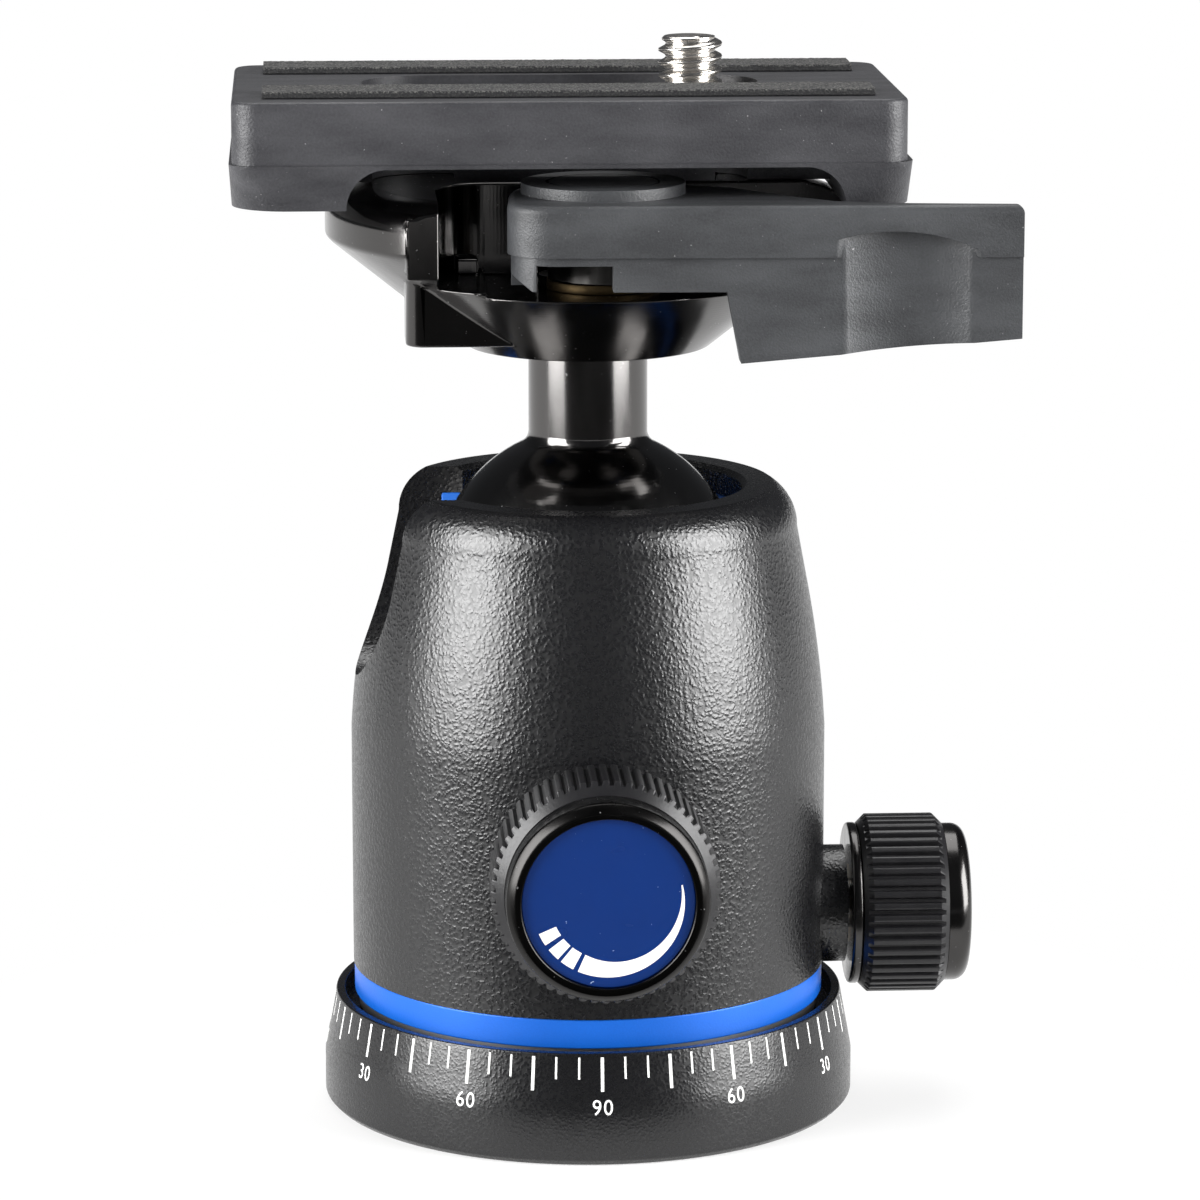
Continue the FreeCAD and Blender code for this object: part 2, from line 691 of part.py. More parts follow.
def finger_scoop():
    """The cutter for the hollow in the finger plate: a shallow trough under a curved brow."""
    trough_r = 14.0
    trough = Part.makeCylinder(trough_r, 20, V(29.1, -22.7 - trough_r + 1.9, 75), UP)
    brow = Part.Arc(V(20, -30, 89.2), V(27.5, -30, 91.0), V(38.5, -30, 87.9)).toShape()
    under = Part.Wire([
        brow,
        Part.makeLine(V(38.5, -30, 87.9), V(38.5, -30, 75)),
        Part.makeLine(V(38.5, -30, 75), V(20, -30, 75)),
        Part.makeLine(V(20, -30, 75), V(20, -30, 89.2)),
    ])
    return trough.common(Part.Face(under).extrude(ALONG_Y * 20))


def clamp_lever():
    """The lever: head, arm and finger plate moulded in one."""
    upper = lever_outline(0, LEVER_CREASE_Z).extrude(UP * (LEVER_TOP_Z - LEVER_CREASE_Z))
    upper = upper.makeFillet(LEVER_ROUND, [e for e in upper.Edges if e.BoundBox.ZMin > LEVER_TOP_Z - 0.01])
    lower = lever_outline(LEVER_STEP, LEVER_BOTTOM_Z).extrude(UP * (LEVER_CREASE_Z - LEVER_BOTTOM_Z))
    boss = disc(LEVER_BOSS_R, LEVER_TOP_Z - 1, LEVER_BOSS_Z, PIVOT_X, PIVOT_Y)
    lever = joined([upper, lower, boss, paddle()])
    hollow = disc(8.1, 80, 92.45, PIVOT_X, PIVOT_Y)
    open_from = math.radians(48)
    open_to = math.radians(192)
    points = [V(PIVOT_X, PIVOT_Y, 80)]
    for i in range(5):
        angle = open_from + (open_to - open_from) * i / 4
        points.append(V(PIVOT_X + 18 * math.cos(angle), PIVOT_Y + 18 * math.sin(angle), 80))
    back_opening = Part.Face(outline(points)).extrude(UP * 12.45)
    lever = lever.cut(hollow).cut(back_opening)
    lever = lever.cut(disc(PIVOT_R + RUNNING, 80, 96, PIVOT_X, PIVOT_Y))
    lever = lever.cut(disc(LEVER_CAP_R + 0.2, 93.1, 96, PIVOT_X, PIVOT_Y))
    notch_low = LEVER_BOTTOM_Z - 1
    window = block((-6.0, -25, notch_low), (1.3, -15, LEVER_CREASE_Z - 0.8))
    lead_in = Part.Face(outline([
        V(-10, -25, notch_low), V(-6.4, -25, notch_low), V(-6.4, -25, LEVER_BOTTOM_Z),
        V(-8.6, -25, 86.8), V(-10, -25, 87.8),
    ])).extrude(ALONG_Y * 9)
    lever = lever.cut(window).cut(lead_in)
    return lever.cut(finger_scoop())


def lever_cap():
    """The round cap over the pivot."""
    return disc(LEVER_CAP_R, 93.85, LEVER_BOSS_Z, PIVOT_X, PIVOT_Y)


def long_slot(radius, left, right, low, high):
    """A slot with round ends along X."""
    return joined([
        disc(radius, low, high, left),
        disc(radius, low, high, right),
        block((left, -radius, low), (right, radius, high)),
    ])


def rounded_plan(left, right, half, corner, height):
    """A rectangle with round corners, as a wire in a horizontal plane."""
    slab = block((left, -half, height), (right, half, height + 1))
    slab = slab.makeFillet(corner, [e for e in slab.Edges if e.BoundBox.ZLength > 0.9])
    face = [f for f in slab.Faces if abs(f.BoundBox.ZMax - height) < 0.001][0]
    return face.OuterWire


def arch_cutter():
    """The cutter for the arch in the front of the plate's skirt, round at its top corners."""
    front = -25
    bottom = PLATE_BOTTOM_Z - 1

    def p(x, z):
        return V(x, front, z)

    def corner(side):
        return Part.Arc(p(side * ARCH_HALF_BOTTOM, PLATE_BOTTOM_Z),
                        p(side * (ARCH_HALF_BOTTOM - 1.1), ARCH_TOP_Z - 1.2),
                        p(side * ARCH_HALF_TOP, ARCH_TOP_Z)).toShape()

    edges = [
        Part.makeLine(p(-ARCH_HALF_BOTTOM, bottom), p(-ARCH_HALF_BOTTOM, PLATE_BOTTOM_Z)),
        corner(-1),
        Part.makeLine(p(-ARCH_HALF_TOP, ARCH_TOP_Z), p(ARCH_HALF_TOP, ARCH_TOP_Z)),
        corner(1),
        Part.makeLine(p(ARCH_HALF_BOTTOM, PLATE_BOTTOM_Z), p(ARCH_HALF_BOTTOM, bottom)),
        Part.makeLine(p(ARCH_HALF_BOTTOM, bottom), p(-ARCH_HALF_BOTTOM, bottom)),
    ]
    return Part.Face(Part.Wire(Part.__sortEdges__(edges))).extrude(ALONG_Y * 24)


def plate_body():
    """The quick release plate: a straight upper band, a drafted skirt, an arch and a key below."""
    band = Part.Face(rounded_plan(PLATE_LEFT + 0.3, PLATE_RIGHT - 0.5, PLATE_HALF_Y - 0.2,
                                  PLATE_CORNER, PLATE_BAND_Z))
    band = band.extrude(UP * (PLATE_TOP_Z - PLATE_BAND_Z))
    band = band.makeFillet(PLATE_ROUND, [e for e in band.Edges if e.BoundBox.ZMin > PLATE_TOP_Z - 0.01])
    skirt_top = rounded_plan(PLATE_LEFT, PLATE_RIGHT, PLATE_HALF_Y, PLATE_CORNER, PLATE_BAND_Z)
    skirt_low = rounded_plan(PLATE_LEFT + PLATE_DRAFT * 0.3, PLATE_RIGHT - 0.1,
                             PLATE_HALF_Y - PLATE_DRAFT, SKIRT_CORNER, PLATE_BOTTOM_Z)
    skirt = Part.makeLoft([skirt_low, skirt_top], True, True)
    plate = joined([band, skirt])
    plate = plate.cut(arch_cutter())
    plate = plate.cut(block((-ARCH_HALF_BOTTOM, -1, 90), (ARCH_HALF_BOTTOM, 25, PLATE_REST_Z)))
    key = block((-KEY_HALF, KEY_FRONT, KEY_BOTTOM_Z), (KEY_HALF, KEY_BACK, PLATE_REST_Z + 1))
    plate = joined([plate, key])
    plate = plate.cut(long_slot(SLOT_R, SLOT_LEFT, SLOT_RIGHT, WASHER_Z, PLATE_TOP_Z + 1))
    plate = plate.cut(long_slot(SLOT_NECK, SLOT_LEFT, SLOT_RIGHT, PLATE_REST_Z, PLATE_TOP_Z))
    return plate.cut(long_slot(SLOT_UNDER, SLOT_LEFT, SLOT_RIGHT, KEY_BOTTOM_Z, WASHER_Z - 1.1))


def pad(side):
    """One rubber strip on the plate; side is -1 for the front and 1 for the rear."""
    middle = side * (PAD_IN + PAD_OUT) / 2
    half = (PAD_OUT - PAD_IN) / 2
    strip = Part.Face(rounded_plan(PAD_LEFT, PAD_RIGHT, half, 1.0, PLATE_TOP_Z)).extrude(UP * PAD_T)
    strip.translate(V(0, middle, 0))
    return strip


def screw_washer():
    """The flanged washer that slides in the plate's slot and carries the camera screw."""
    washer = disc(WASHER_R, WASHER_Z, WASHER_Z + WASHER_T, SCREW_X)
    return washer.cut(disc(SCREW_R + 0.08, 100, 104, SCREW_X))


def camera_screw():
    """The camera screw, with a slotted head under the plate and an undercut neck in the washer."""
    head = disc(5.4, 97.6, WASHER_Z - 1.15, SCREW_X)
    head = head.cut(block((SCREW_X - 0.8, -8, 97), (SCREW_X + 0.8, 8, 98.8)))
    neck = disc(SCREW_NECK_R, WASHER_Z - 1.2, SCREW_THREAD_Z, SCREW_X)
    shank = disc(SCREW_R, SCREW_THREAD_Z, SCREW_TOP_Z - 0.5, SCREW_X)
    tip = Part.makeCone(SCREW_R, SCREW_R - 0.5, 0.5, V(SCREW_X, 0, SCREW_TOP_Z - 0.5), UP)
    return joined([head, neck, shank, tip])


os.makedirs("parts", exist_ok=True)

write("scale_base", scale_base())
write("base_screws", Part.makeCompound(base_screw_shapes()))
write("pan_spindle", pan_spindle())
write("tripod_bush", tripod_bush())
write("base_thrust_washer", tube(20.0, SPINDLE_R, BASE_DECK_Z, BASE_DECK_Z + THRUST_T))
write("brake_drum", tube(DRUM_R, THREAD_NECK_R, FLOOR_DECK_Z + 0.3, DRUM_TOP_Z))
write("drum_thrust_washer", tube(DRUM_R, THREAD_NECK_R, FLOOR_DECK_Z, FLOOR_DECK_Z + 0.3))

write("ball_housing", ball_housing())
write("blue_ring", blue_ring())
write("housing_floor", housing_floor())
write("floor_screws", Part.makeCompound(floor_screw_shapes()))
write("wedge_plate", disc(LOWER_BORE_R, BORE_STEP_Z - WEDGE_PLATE_T, BORE_STEP_Z))
write("upper_seat", upper_seat())
write("main_bush", main_bush())
write("pan_bush", pan_bush())
write("wedge_spring", wedge_spring())

write("main_grip", main_grip())
write("main_ring", main_ring())
write("main_badge", main_badge())
write("main_screw", main_screw())
write("lock_wedge", lock_wedge())
write("seat_lifter", seat_lifter())

write("pan_flange", pan_flange())
write("pan_grip", pan_grip())
write("pan_cap", pan_cap())
write("pan_screw", pan_screw())
write("pan_brake_shoe", pan_brake_shoe())

write("lower_seat", lower_seat())
write("ball_stem", ball_stem())

write("clamp_body", clamp_body())
write("clamp_bolt", clamp_bolt())
write("pivot_pin", pivot_pin())
write("pivot_washer", pivot_washer())
write("clamp_jaw", clamp_jaw())
write("clamp_lever", clamp_lever())
write("lever_cam", lever_cam())
write("lever_cap", lever_cap())

write("plate_body", plate_body())
write("front_pad", pad(-1))
write("rear_pad", pad(1))
write("screw_washer", screw_washer())
write("camera_screw", camera_screw())

for name, volume in volumes.items():
    print(name, round(volume, 1))
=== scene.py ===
import json
import math

import bmesh
import bpy
from mathutils import Matrix, Vector

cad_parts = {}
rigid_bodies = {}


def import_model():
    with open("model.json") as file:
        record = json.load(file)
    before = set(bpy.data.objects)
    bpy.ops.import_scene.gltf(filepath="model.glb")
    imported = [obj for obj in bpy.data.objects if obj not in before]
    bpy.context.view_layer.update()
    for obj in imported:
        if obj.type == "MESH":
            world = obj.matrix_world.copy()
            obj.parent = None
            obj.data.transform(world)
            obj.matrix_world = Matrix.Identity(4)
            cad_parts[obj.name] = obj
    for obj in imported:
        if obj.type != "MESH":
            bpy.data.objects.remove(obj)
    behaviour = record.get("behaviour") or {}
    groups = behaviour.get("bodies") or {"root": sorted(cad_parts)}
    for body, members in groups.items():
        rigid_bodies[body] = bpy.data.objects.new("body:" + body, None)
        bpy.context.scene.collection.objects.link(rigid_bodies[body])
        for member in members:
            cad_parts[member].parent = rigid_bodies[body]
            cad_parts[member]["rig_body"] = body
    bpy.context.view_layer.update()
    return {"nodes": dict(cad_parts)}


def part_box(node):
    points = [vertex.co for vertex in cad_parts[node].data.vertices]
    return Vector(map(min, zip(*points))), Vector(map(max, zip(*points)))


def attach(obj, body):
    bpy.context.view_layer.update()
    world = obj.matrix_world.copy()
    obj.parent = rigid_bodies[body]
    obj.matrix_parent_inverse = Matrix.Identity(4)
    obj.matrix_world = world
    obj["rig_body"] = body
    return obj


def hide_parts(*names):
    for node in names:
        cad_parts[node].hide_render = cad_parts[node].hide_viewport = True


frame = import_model()

# The panning base: a turned alloy ring with a conical band, painted in a fine satin black texture.
# The scale is engraved and filled with white paint: a mark every 5 degrees, a longer one every 15,
# and a number every 30.

MM = 0.001


def new_finish(name, colour, roughness, metallic=0.0, specular=0.5):
    """A material with one shader, and the object's own coordinates to pattern it with."""
    finish = bpy.data.materials.new(name)
    finish.use_nodes = True
    tree = finish.node_tree
    shader = tree.nodes["Principled BSDF"]
    shader.inputs["Base Color"].default_value = (*colour, 1.0)
    shader.inputs["Roughness"].default_value = roughness
    shader.inputs["Metallic"].default_value = metallic
    shader.inputs["Specular IOR Level"].default_value = specular
    place = tree.nodes.new("ShaderNodeTexCoord").outputs["Object"]
    return finish, tree, shader, place


def put(tree, value, socket):
    """Links an output to a socket, or sets a plain value on it."""
    if isinstance(value, bpy.types.NodeSocket):
        tree.links.new(value, socket)
    else:
        socket.default_value = value


def calc(tree, operation, *values):
    """One step of arithmetic on numbers or outputs."""
    node = tree.nodes.new("ShaderNodeMath")
    node.operation = operation
    for socket, value in zip(node.inputs, values):
        put(tree, value, socket)
    return node.outputs[0]


def stretched(tree, place, scale=(1, 1, 1), shift=(0, 0, 0)):
    """Coordinates stretched and moved, to draw a pattern out or to centre it."""
    node = tree.nodes.new("ShaderNodeMapping")
    node.inputs["Location"].default_value = shift
    node.inputs["Scale"].default_value = scale
    tree.links.new(place, node.inputs["Vector"])
    return node.outputs["Vector"]


def noise(tree, place, size, detail=2.0):
    """Noise whose features are about that many millimetres across."""
    node = tree.nodes.new("ShaderNodeTexNoise")
    node.inputs["Scale"].default_value = 1.0 / (size * MM)
    node.inputs["Detail"].default_value = detail
    tree.links.new(place, node.inputs["Vector"])
    return node


def spread(tree, share, low, high, start=0.0, end=1.0):
    """A number that runs from low to high while share runs from start to end."""
    node = tree.nodes.new("ShaderNodeMapRange")
    for socket, value in zip(node.inputs, (share, start, end, low, high)):
        put(tree, value, socket)
    return node.outputs["Result"]


def blended(tree, share, first, second):
    """A colour between two colours."""
    node = tree.nodes.new("ShaderNodeMix")
    node.data_type = "RGBA"
    put(tree, share, node.inputs[0])
    for socket, colour in ((node.inputs[6], first), (node.inputs[7], second)):
        put(tree, colour if isinstance(colour, bpy.types.NodeSocket) else (*colour, 1.0), socket)
    return node.outputs[2]


def relief(tree, height, depth, shader, strength=1.0):
    """Raises the shader's surface by height times a depth in millimetres."""
    node = tree.nodes.new("ShaderNodeBump")
    node.inputs["Strength"].default_value = strength
    node.inputs["Distance"].default_value = depth * MM
    tree.links.new(height, node.inputs["Height"])
    tree.links.new(node.outputs["Normal"], shader.inputs["Normal"])


def wrinkled(tree, place, size):
    """The height of a wrinkle coat: soft irregular cells, pushed about, with fine grain on top."""
    push = noise(tree, place, size * 1.6)
    moved = tree.nodes.new("ShaderNodeVectorMath")
    moved.operation = "MULTIPLY_ADD"
    tree.links.new(push.outputs["Color"], moved.inputs[0])
    moved.inputs[1].default_value = (size * MM * 1.5,) * 3
    tree.links.new(place, moved.inputs[2])
    cells = tree.nodes.new("ShaderNodeTexVoronoi")
    cells.feature = "SMOOTH_F1"
    cells.inputs["Scale"].default_value = 1.0 / (size * MM)
    cells.inputs["Smoothness"].default_value = 0.4
    tree.links.new(moved.outputs["Vector"], cells.inputs["Vector"])
    domes = spread(tree, cells.outputs["Distance"], 1.0, 0.0, 0.1, 0.75)
    fine = noise(tree, place, size * 0.45).outputs["Fac"]
    return calc(tree, "MULTIPLY_ADD", fine, 0.35, domes)


def textured_paint(name, size, depth, roughness, specular):
    """Black paint with a wrinkle of that size and depth, duller in its creases and darker there as
    painted shade.
    """
    finish, tree, shader, place = new_finish(name, (0.012, 0.012, 0.013), roughness,
                                             specular=specular)
    height = wrinkled(tree, place, size)
    cloud = noise(tree, place, 9.0).outputs["Fac"]
    # painted shade: the wrinkle's creases are darker, mixed with a random cloudy tone
    shade = calc(tree, "MULTIPLY_ADD", cloud, 0.3, calc(tree, "MULTIPLY", height, 0.6))
    put(tree, blended(tree, shade, (0.0015, 0.0015, 0.0018), (0.007, 0.007, 0.008)),
        shader.inputs["Base Color"])
    put(tree, spread(tree, height, roughness + 0.12, roughness - 0.05, 0.2, 1.1),
        shader.inputs["Roughness"])
    relief(tree, height, depth, shader)
    return finish


def merged_copy(node):
    """A copy of a CAD node's mesh with its triangles joined and its flat faces made whole."""
    mesh = frame["nodes"][node].data.copy()
    for name in [a.name for a in mesh.attributes if a.name == "custom_normal"]:
        mesh.attributes.remove(mesh.attributes[name])
    work = bmesh.new()
    work.from_mesh(mesh)
    bmesh.ops.remove_doubles(work, verts=work.verts, dist=1e-6)
    bmesh.ops.dissolve_limit(work, angle_limit=math.radians(0.15), verts=work.verts,
                             edges=work.edges)
    for face in work.faces:
        face.smooth = True
    work.to_mesh(mesh)
    work.free()
    return mesh


def settled(piece, name):
    """The plain mesh object that a piece's modifiers make, with the piece itself removed."""
    bpy.context.view_layer.update()
    ready = piece.evaluated_get(bpy.context.evaluated_depsgraph_get())
    mesh = bpy.data.meshes.new_from_object(ready)
    bpy.data.objects.remove(piece)
    made = bpy.data.objects.new(name, mesh)
    bpy.context.scene.collection.objects.link(made)
    return made


def fitted(piece, finish, body, slot, *nodes):
    """Gives a finished piece its material and body, and hides the nodes it stands for; the record
    slot is not used.
    """
    piece.data.materials.clear()
    piece.data.materials.append(finish)
    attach(piece, body)
    if nodes:
        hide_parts(*nodes)
    return piece


def eased(node, edge, finish, slot, angle=25.0, clamp=False):
    """A CAD node's own shape with its sharp edges eased by that many millimetres.

    An edge is sharp where its faces turn by more than angle. With clamp, near edges share the room.
    """
    piece = bpy.data.objects.new(node, merged_copy(node))
    bpy.context.scene.collection.objects.link(piece)
    ease = piece.modifiers.new("ease", "BEVEL")
    ease.width = edge * MM
    ease.segments = 2
    ease.limit_method = "ANGLE"
    ease.angle_limit = math.radians(angle)
    ease.use_clamp_overlap = clamp
    ease.miter_outer = "MITER_ARC"
    shade = piece.modifiers.new("shade", "WEIGHTED_NORMAL")
    shade.keep_sharp = False
    made = settled(piece, node + ".eased")
    return fitted(made, finish, frame["nodes"][node]["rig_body"], slot, node)


def dressed(node, finish):
    """Leaves a CAD node as it is and gives it a material."""
    mesh = frame["nodes"][node].data
    mesh.materials.clear()
    mesh.materials.append(finish)


def new_tree(name, **sizes):
    """A Geometry Nodes tree with a named input for each size and one for its material."""
    tree = bpy.data.node_groups.new(name, "GeometryNodeTree")
    tree.interface.new_socket("Geometry", in_out="INPUT", socket_type="NodeSocketGeometry")
    tree.interface.new_socket("Geometry", in_out="OUTPUT", socket_type="NodeSocketGeometry")
    for label, value in sizes.items():
        kind = "NodeSocketInt" if isinstance(value, int) else "NodeSocketFloat"
        tree.interface.new_socket(label, in_out="INPUT", socket_type=kind).default_value = value
    tree.interface.new_socket("finish", in_out="INPUT", socket_type="NodeSocketMaterial")
    start = tree.nodes.new("NodeGroupInput")
    return tree, start.outputs


def geometry_node(tree, kind, **settings):
    """A node of that kind with its settings."""
    node = tree.nodes.new("GeometryNode" + kind)
    for name, value in settings.items():
        setattr(node, name, value)
    return node


def end_tree(tree, start, shape, smooth=None):
    """Makes a tree's result real, merges it, shades it and gives it its material."""
    real = geometry_node(tree, "RealizeInstances")
    merge = geometry_node(tree, "MergeByDistance")
    merge.inputs["Distance"].default_value = 1e-6
    shade = geometry_node(tree, "SetShadeSmooth")
    paint = geometry_node(tree, "SetMaterial")
    end = tree.nodes.new("NodeGroupOutput")
    tree.links.new(shape, real.inputs[0])
    tree.links.new(real.outputs[0], merge.inputs["Geometry"])
    tree.links.new(merge.outputs[0], shade.inputs["Geometry"])
    put(tree, smooth if smooth is not None else False, shade.inputs["Shade Smooth"])
    tree.links.new(shade.outputs[0], paint.inputs["Geometry"])
    tree.links.new(start["finish"], paint.inputs["Material"])
    tree.links.new(paint.outputs[0], end.inputs[0])


def grown(tree, name, finish, **sizes):
    """The plain mesh that a tree makes from these sizes, as an object."""
    holder = bpy.data.objects.new(name + ".tree", bpy.data.meshes.new(name))
    bpy.context.scene.collection.objects.link(holder)
    modifier = holder.modifiers.new(tree.name, "NODES")
    modifier.node_group = tree
    for item in tree.interface.items_tree:
        if item.in_out == "INPUT" and item.name in sizes:
            modifier[item.identifier] = sizes[item.name]
        if item.in_out == "INPUT" and item.name == "finish":
            modifier[item.identifier] = finish
    return settled(holder, name)


base_paint = textured_paint("base_paint", 0.30, 0.014, 0.22, 0.6)
eased("scale_base", 0.15, base_paint, "black_wrinkle_paint")

white_fill, tree, shader, place = new_finish("white_fill", (0.80, 0.80, 0.78), 0.55)
speckle = noise(tree, place, 0.12).outputs["Fac"]
put(tree, blended(tree, speckle, (0.70, 0.70, 0.69), (0.88, 0.88, 0.86)),
    shader.inputs["Base Color"])
relief(tree, speckle, 0.01, shader)

BAND_LOW = (26.8, 4.65)
BAND_HIGH = (25.6, 11.1)
BAND_LEAN = math.atan2(BAND_LOW[0] - BAND_HIGH[0], BAND_HIGH[1] - BAND_LOW[1])
MARK_TOP_Z = 10.75
MARK_PROUD = 0.02


def band_radius(z):
    """The radius of the conical band at a height, in millimetres."""
    share = (z - BAND_LOW[1]) / (BAND_HIGH[1] - BAND_LOW[1])
    return BAND_LOW[0] + share * (BAND_HIGH[0] - BAND_LOW[0])


marks, start = new_tree("scale_marks", Marks=72, LeaveOut=3, Width=0.0002, Length=0.002,
                        Radius=0.026, Height=0.01, Lean=0.1)
bar = geometry_node(marks, "MeshCube")
size = marks.nodes.new("ShaderNodeCombineXYZ")
put(marks, 2 * MARK_PROUD * MM, size.inputs["X"])
put(marks, start["Width"], size.inputs["Y"])
put(marks, start["Length"], size.inputs["Z"])
marks.links.new(size.outputs[0], bar.inputs["Size"])
lay = geometry_node(marks, "Transform")
where = marks.nodes.new("ShaderNodeCombineXYZ")
put(marks, start["Radius"], where.inputs["X"])
put(marks, start["Height"], where.inputs["Z"])
lean = marks.nodes.new("ShaderNodeCombineXYZ")
put(marks, calc(marks, "MULTIPLY", start["Lean"], -1.0), lean.inputs["Y"])
marks.links.new(bar.outputs["Mesh"], lay.inputs["Geometry"])
marks.links.new(where.outputs[0], lay.inputs["Translation"])
marks.links.new(lean.outputs[0], lay.inputs["Rotation"])
ring = geometry_node(marks, "MeshLine")
marks.links.new(start["Marks"], ring.inputs["Count"])
ring.inputs["Offset"].default_value = (0, 0, 0)
index = geometry_node(marks, "InputIndex").outputs[0]
keep = calc(marks, "GREATER_THAN", calc(marks, "MODULO", index, start["LeaveOut"]), 0.5)
turn = marks.nodes.new("ShaderNodeCombineXYZ")
step = calc(marks, "DIVIDE", 2 * math.pi, start["Marks"])
put(marks, calc(marks, "MULTIPLY", index, step), turn.inputs["Z"])
set_out = geometry_node(marks, "InstanceOnPoints")
marks.links.new(ring.outputs["Mesh"], set_out.inputs["Points"])
marks.links.new(keep, set_out.inputs["Selection"])
marks.links.new(lay.outputs["Geometry"], set_out.inputs["Instance"])
marks.links.new(turn.outputs[0], set_out.inputs["Rotation"])
end_tree(marks, start, set_out.outputs["Instances"])


def scale_marks(name, count, leave_out, width, length):
    """A ring of painted marks that hang from the top of the band."""
    z = MARK_TOP_Z - length / 2 * math.cos(BAND_LEAN)
    made = grown(marks, name, white_fill, Marks=count, LeaveOut=leave_out, Width=width * MM,
                 Length=length * MM, Radius=band_radius(z) * MM, Height=z * MM, Lean=BAND_LEAN)
    return fitted(made, white_fill, "base", "black_wrinkle_paint")


scale_marks("short_marks", 72, 3, 0.19, 2.15)
scale_marks("long_marks", 24, 1000, 0.31, 3.35)

NUMBER_Z = 5.85
NUMBER_SIZE = 2.15


def scale_number(text, degrees):
    """One number, wrapped round the band and upright."""
    letters = bpy.data.curves.new("number", "FONT")
    letters.body = text
    letters.size = NUMBER_SIZE
    letters.align_x = "CENTER"
    letters.align_y = "CENTER"
    letters.extrude = 0.05
    letters.space_character = 1.12
    letters.resolution_u = 4
    flat = bpy.data.objects.new("number", letters)
    bpy.context.scene.collection.objects.link(flat)
    made = settled(flat, f"number_{text}_{degrees % 360}")
    for vertex in made.data.vertices:
        x, y, out = vertex.co
        z = NUMBER_Z + y * math.cos(BAND_LEAN)
        r = band_radius(z) + (MARK_PROUD if out > 0 else -0.05)
        angle = math.radians(degrees) + 0.92 * x / r
        vertex.co = Vector((r * math.sin(angle), -r * math.cos(angle), z)) * MM
    return fitted(made, white_fill, "base", "black_wrinkle_paint")


for turn_to in range(-150, 181, 30):
    scale_number(str(abs(90 - abs(turn_to))), turn_to)

# The bearing inside the base: a steel spindle with a flange, held by three countersunk socket
# screws from below, with a brass bush for the tripod's screw. Two thin washers and a steel drum
# sit on it, and the panning lock presses on the drum.


def turned_metal(name, dark, light, roughness, axis="Z", centre=(0, 0, 0), pitch=0.16):
    """Bare metal with the fine rings that a lathe leaves, and faint stains."""
    finish, tree, shader, place = new_finish(name, light, roughness, metallic=1.0)
    rings = tree.nodes.new("ShaderNodeTexWave")
    rings.wave_type = "RINGS"
    rings.rings_direction = axis
    rings.inputs["Scale"].default_value = 0.3 / (pitch * MM)
    rings.inputs["Distortion"].default_value = 1.2
    tree.links.new(stretched(tree, place, shift=[-c * MM for c in centre]), rings.inputs["Vector"])
    stain = noise(tree, place, 5.0, 4.0).outputs["Fac"]
    share = calc(tree, "MULTIPLY_ADD", rings.outputs["Fac"], 0.35,
                 calc(tree, "MULTIPLY", stain, 0.7))
    put(tree, blended(tree, share, dark, light), shader.inputs["Base Color"])
    put(tree, spread(tree, share, roughness + 0.12, roughness - 0.06), shader.inputs["Roughness"])
    relief(tree, rings.outputs["Fac"], 0.008, shader)
    return finish


plain_steel = turned_metal("plain_steel", (0.36, 0.36, 0.37), (0.60, 0.60, 0.61), 0.34)
brass = turned_metal("brass", (0.52, 0.34, 0.13), (0.80, 0.60, 0.28), 0.28)

nylon, tree, shader, place = new_finish("nylon", (0.85, 0.84, 0.80), 0.45)
cloud = noise(tree, place, 4.0, 3.0).outputs["Fac"]
put(tree, blended(tree, cloud, (0.76, 0.75, 0.70), (0.90, 0.89, 0.86)), shader.inputs["Base Color"])
put(tree, spread(tree, cloud, 0.55, 0.38), shader.inputs["Roughness"])
relief(tree, noise(tree, place, 0.3).outputs["Fac"], 0.01, shader)

eased("pan_spindle", 0.2, plain_steel, "plain_steel")
eased("tripod_bush", 0.2, brass, "brass")
dressed("brake_drum", plain_steel)
dressed("base_thrust_washer", nylon)
dressed("drum_thrust_washer", nylon)

SCREW_CIRCLE = 13.6
SCREW_HEAD = (2.6, 1.6)
SCREW_SHANK = (1.5, 8.0)
SCREW_HEX_R = 1.3

socket_screws, start = new_tree("socket_screws", Screws=3, First=0.5, Circle=0.0136,
                                HeadRadius=0.0026, HeadDepth=0.0016, ShankRadius=0.0015,
                                Length=0.008, HexRadius=0.0012)
head = geometry_node(socket_screws, "MeshCone")
head.inputs["Vertices"].default_value = 48
put(socket_screws, start["ShankRadius"], head.inputs["Radius Top"])
put(socket_screws, start["HeadRadius"], head.inputs["Radius Bottom"])
put(socket_screws, start["HeadDepth"], head.inputs["Depth"])
shank = geometry_node(socket_screws, "MeshCylinder")
shank.inputs["Vertices"].default_value = 48
put(socket_screws, start["ShankRadius"], shank.inputs["Radius"])
shank_depth = calc(socket_screws, "SUBTRACT", start["Length"], start["HeadDepth"])
put(socket_screws, shank_depth, shank.inputs["Depth"])
up = socket_screws.nodes.new("ShaderNodeCombineXYZ")
shank_middle = calc(socket_screws, "MULTIPLY_ADD", shank_depth, 0.5, start["HeadDepth"])
put(socket_screws, calc(socket_screws, "SUBTRACT", shank_middle, 0.00001), up.inputs["Z"])
raised = geometry_node(socket_screws, "Transform")
socket_screws.links.new(shank.outputs["Mesh"], raised.inputs["Geometry"])
socket_screws.links.new(up.outputs[0], raised.inputs["Translation"])
hexagon = geometry_node(socket_screws, "MeshCylinder")
hexagon.inputs["Vertices"].default_value = 6
put(socket_screws, start["HexRadius"], hexagon.inputs["Radius"])
put(socket_screws, start["HeadDepth"], hexagon.inputs["Depth"])
both = geometry_node(socket_screws, "MeshBoolean", operation="UNION", solver="EXACT")
socket_screws.links.new(head.outputs["Mesh"], both.inputs["Mesh 2"])
socket_screws.links.new(raised.outputs["Geometry"], both.inputs["Mesh 2"])
recess = geometry_node(socket_screws, "MeshBoolean", operation="DIFFERENCE", solver="EXACT")
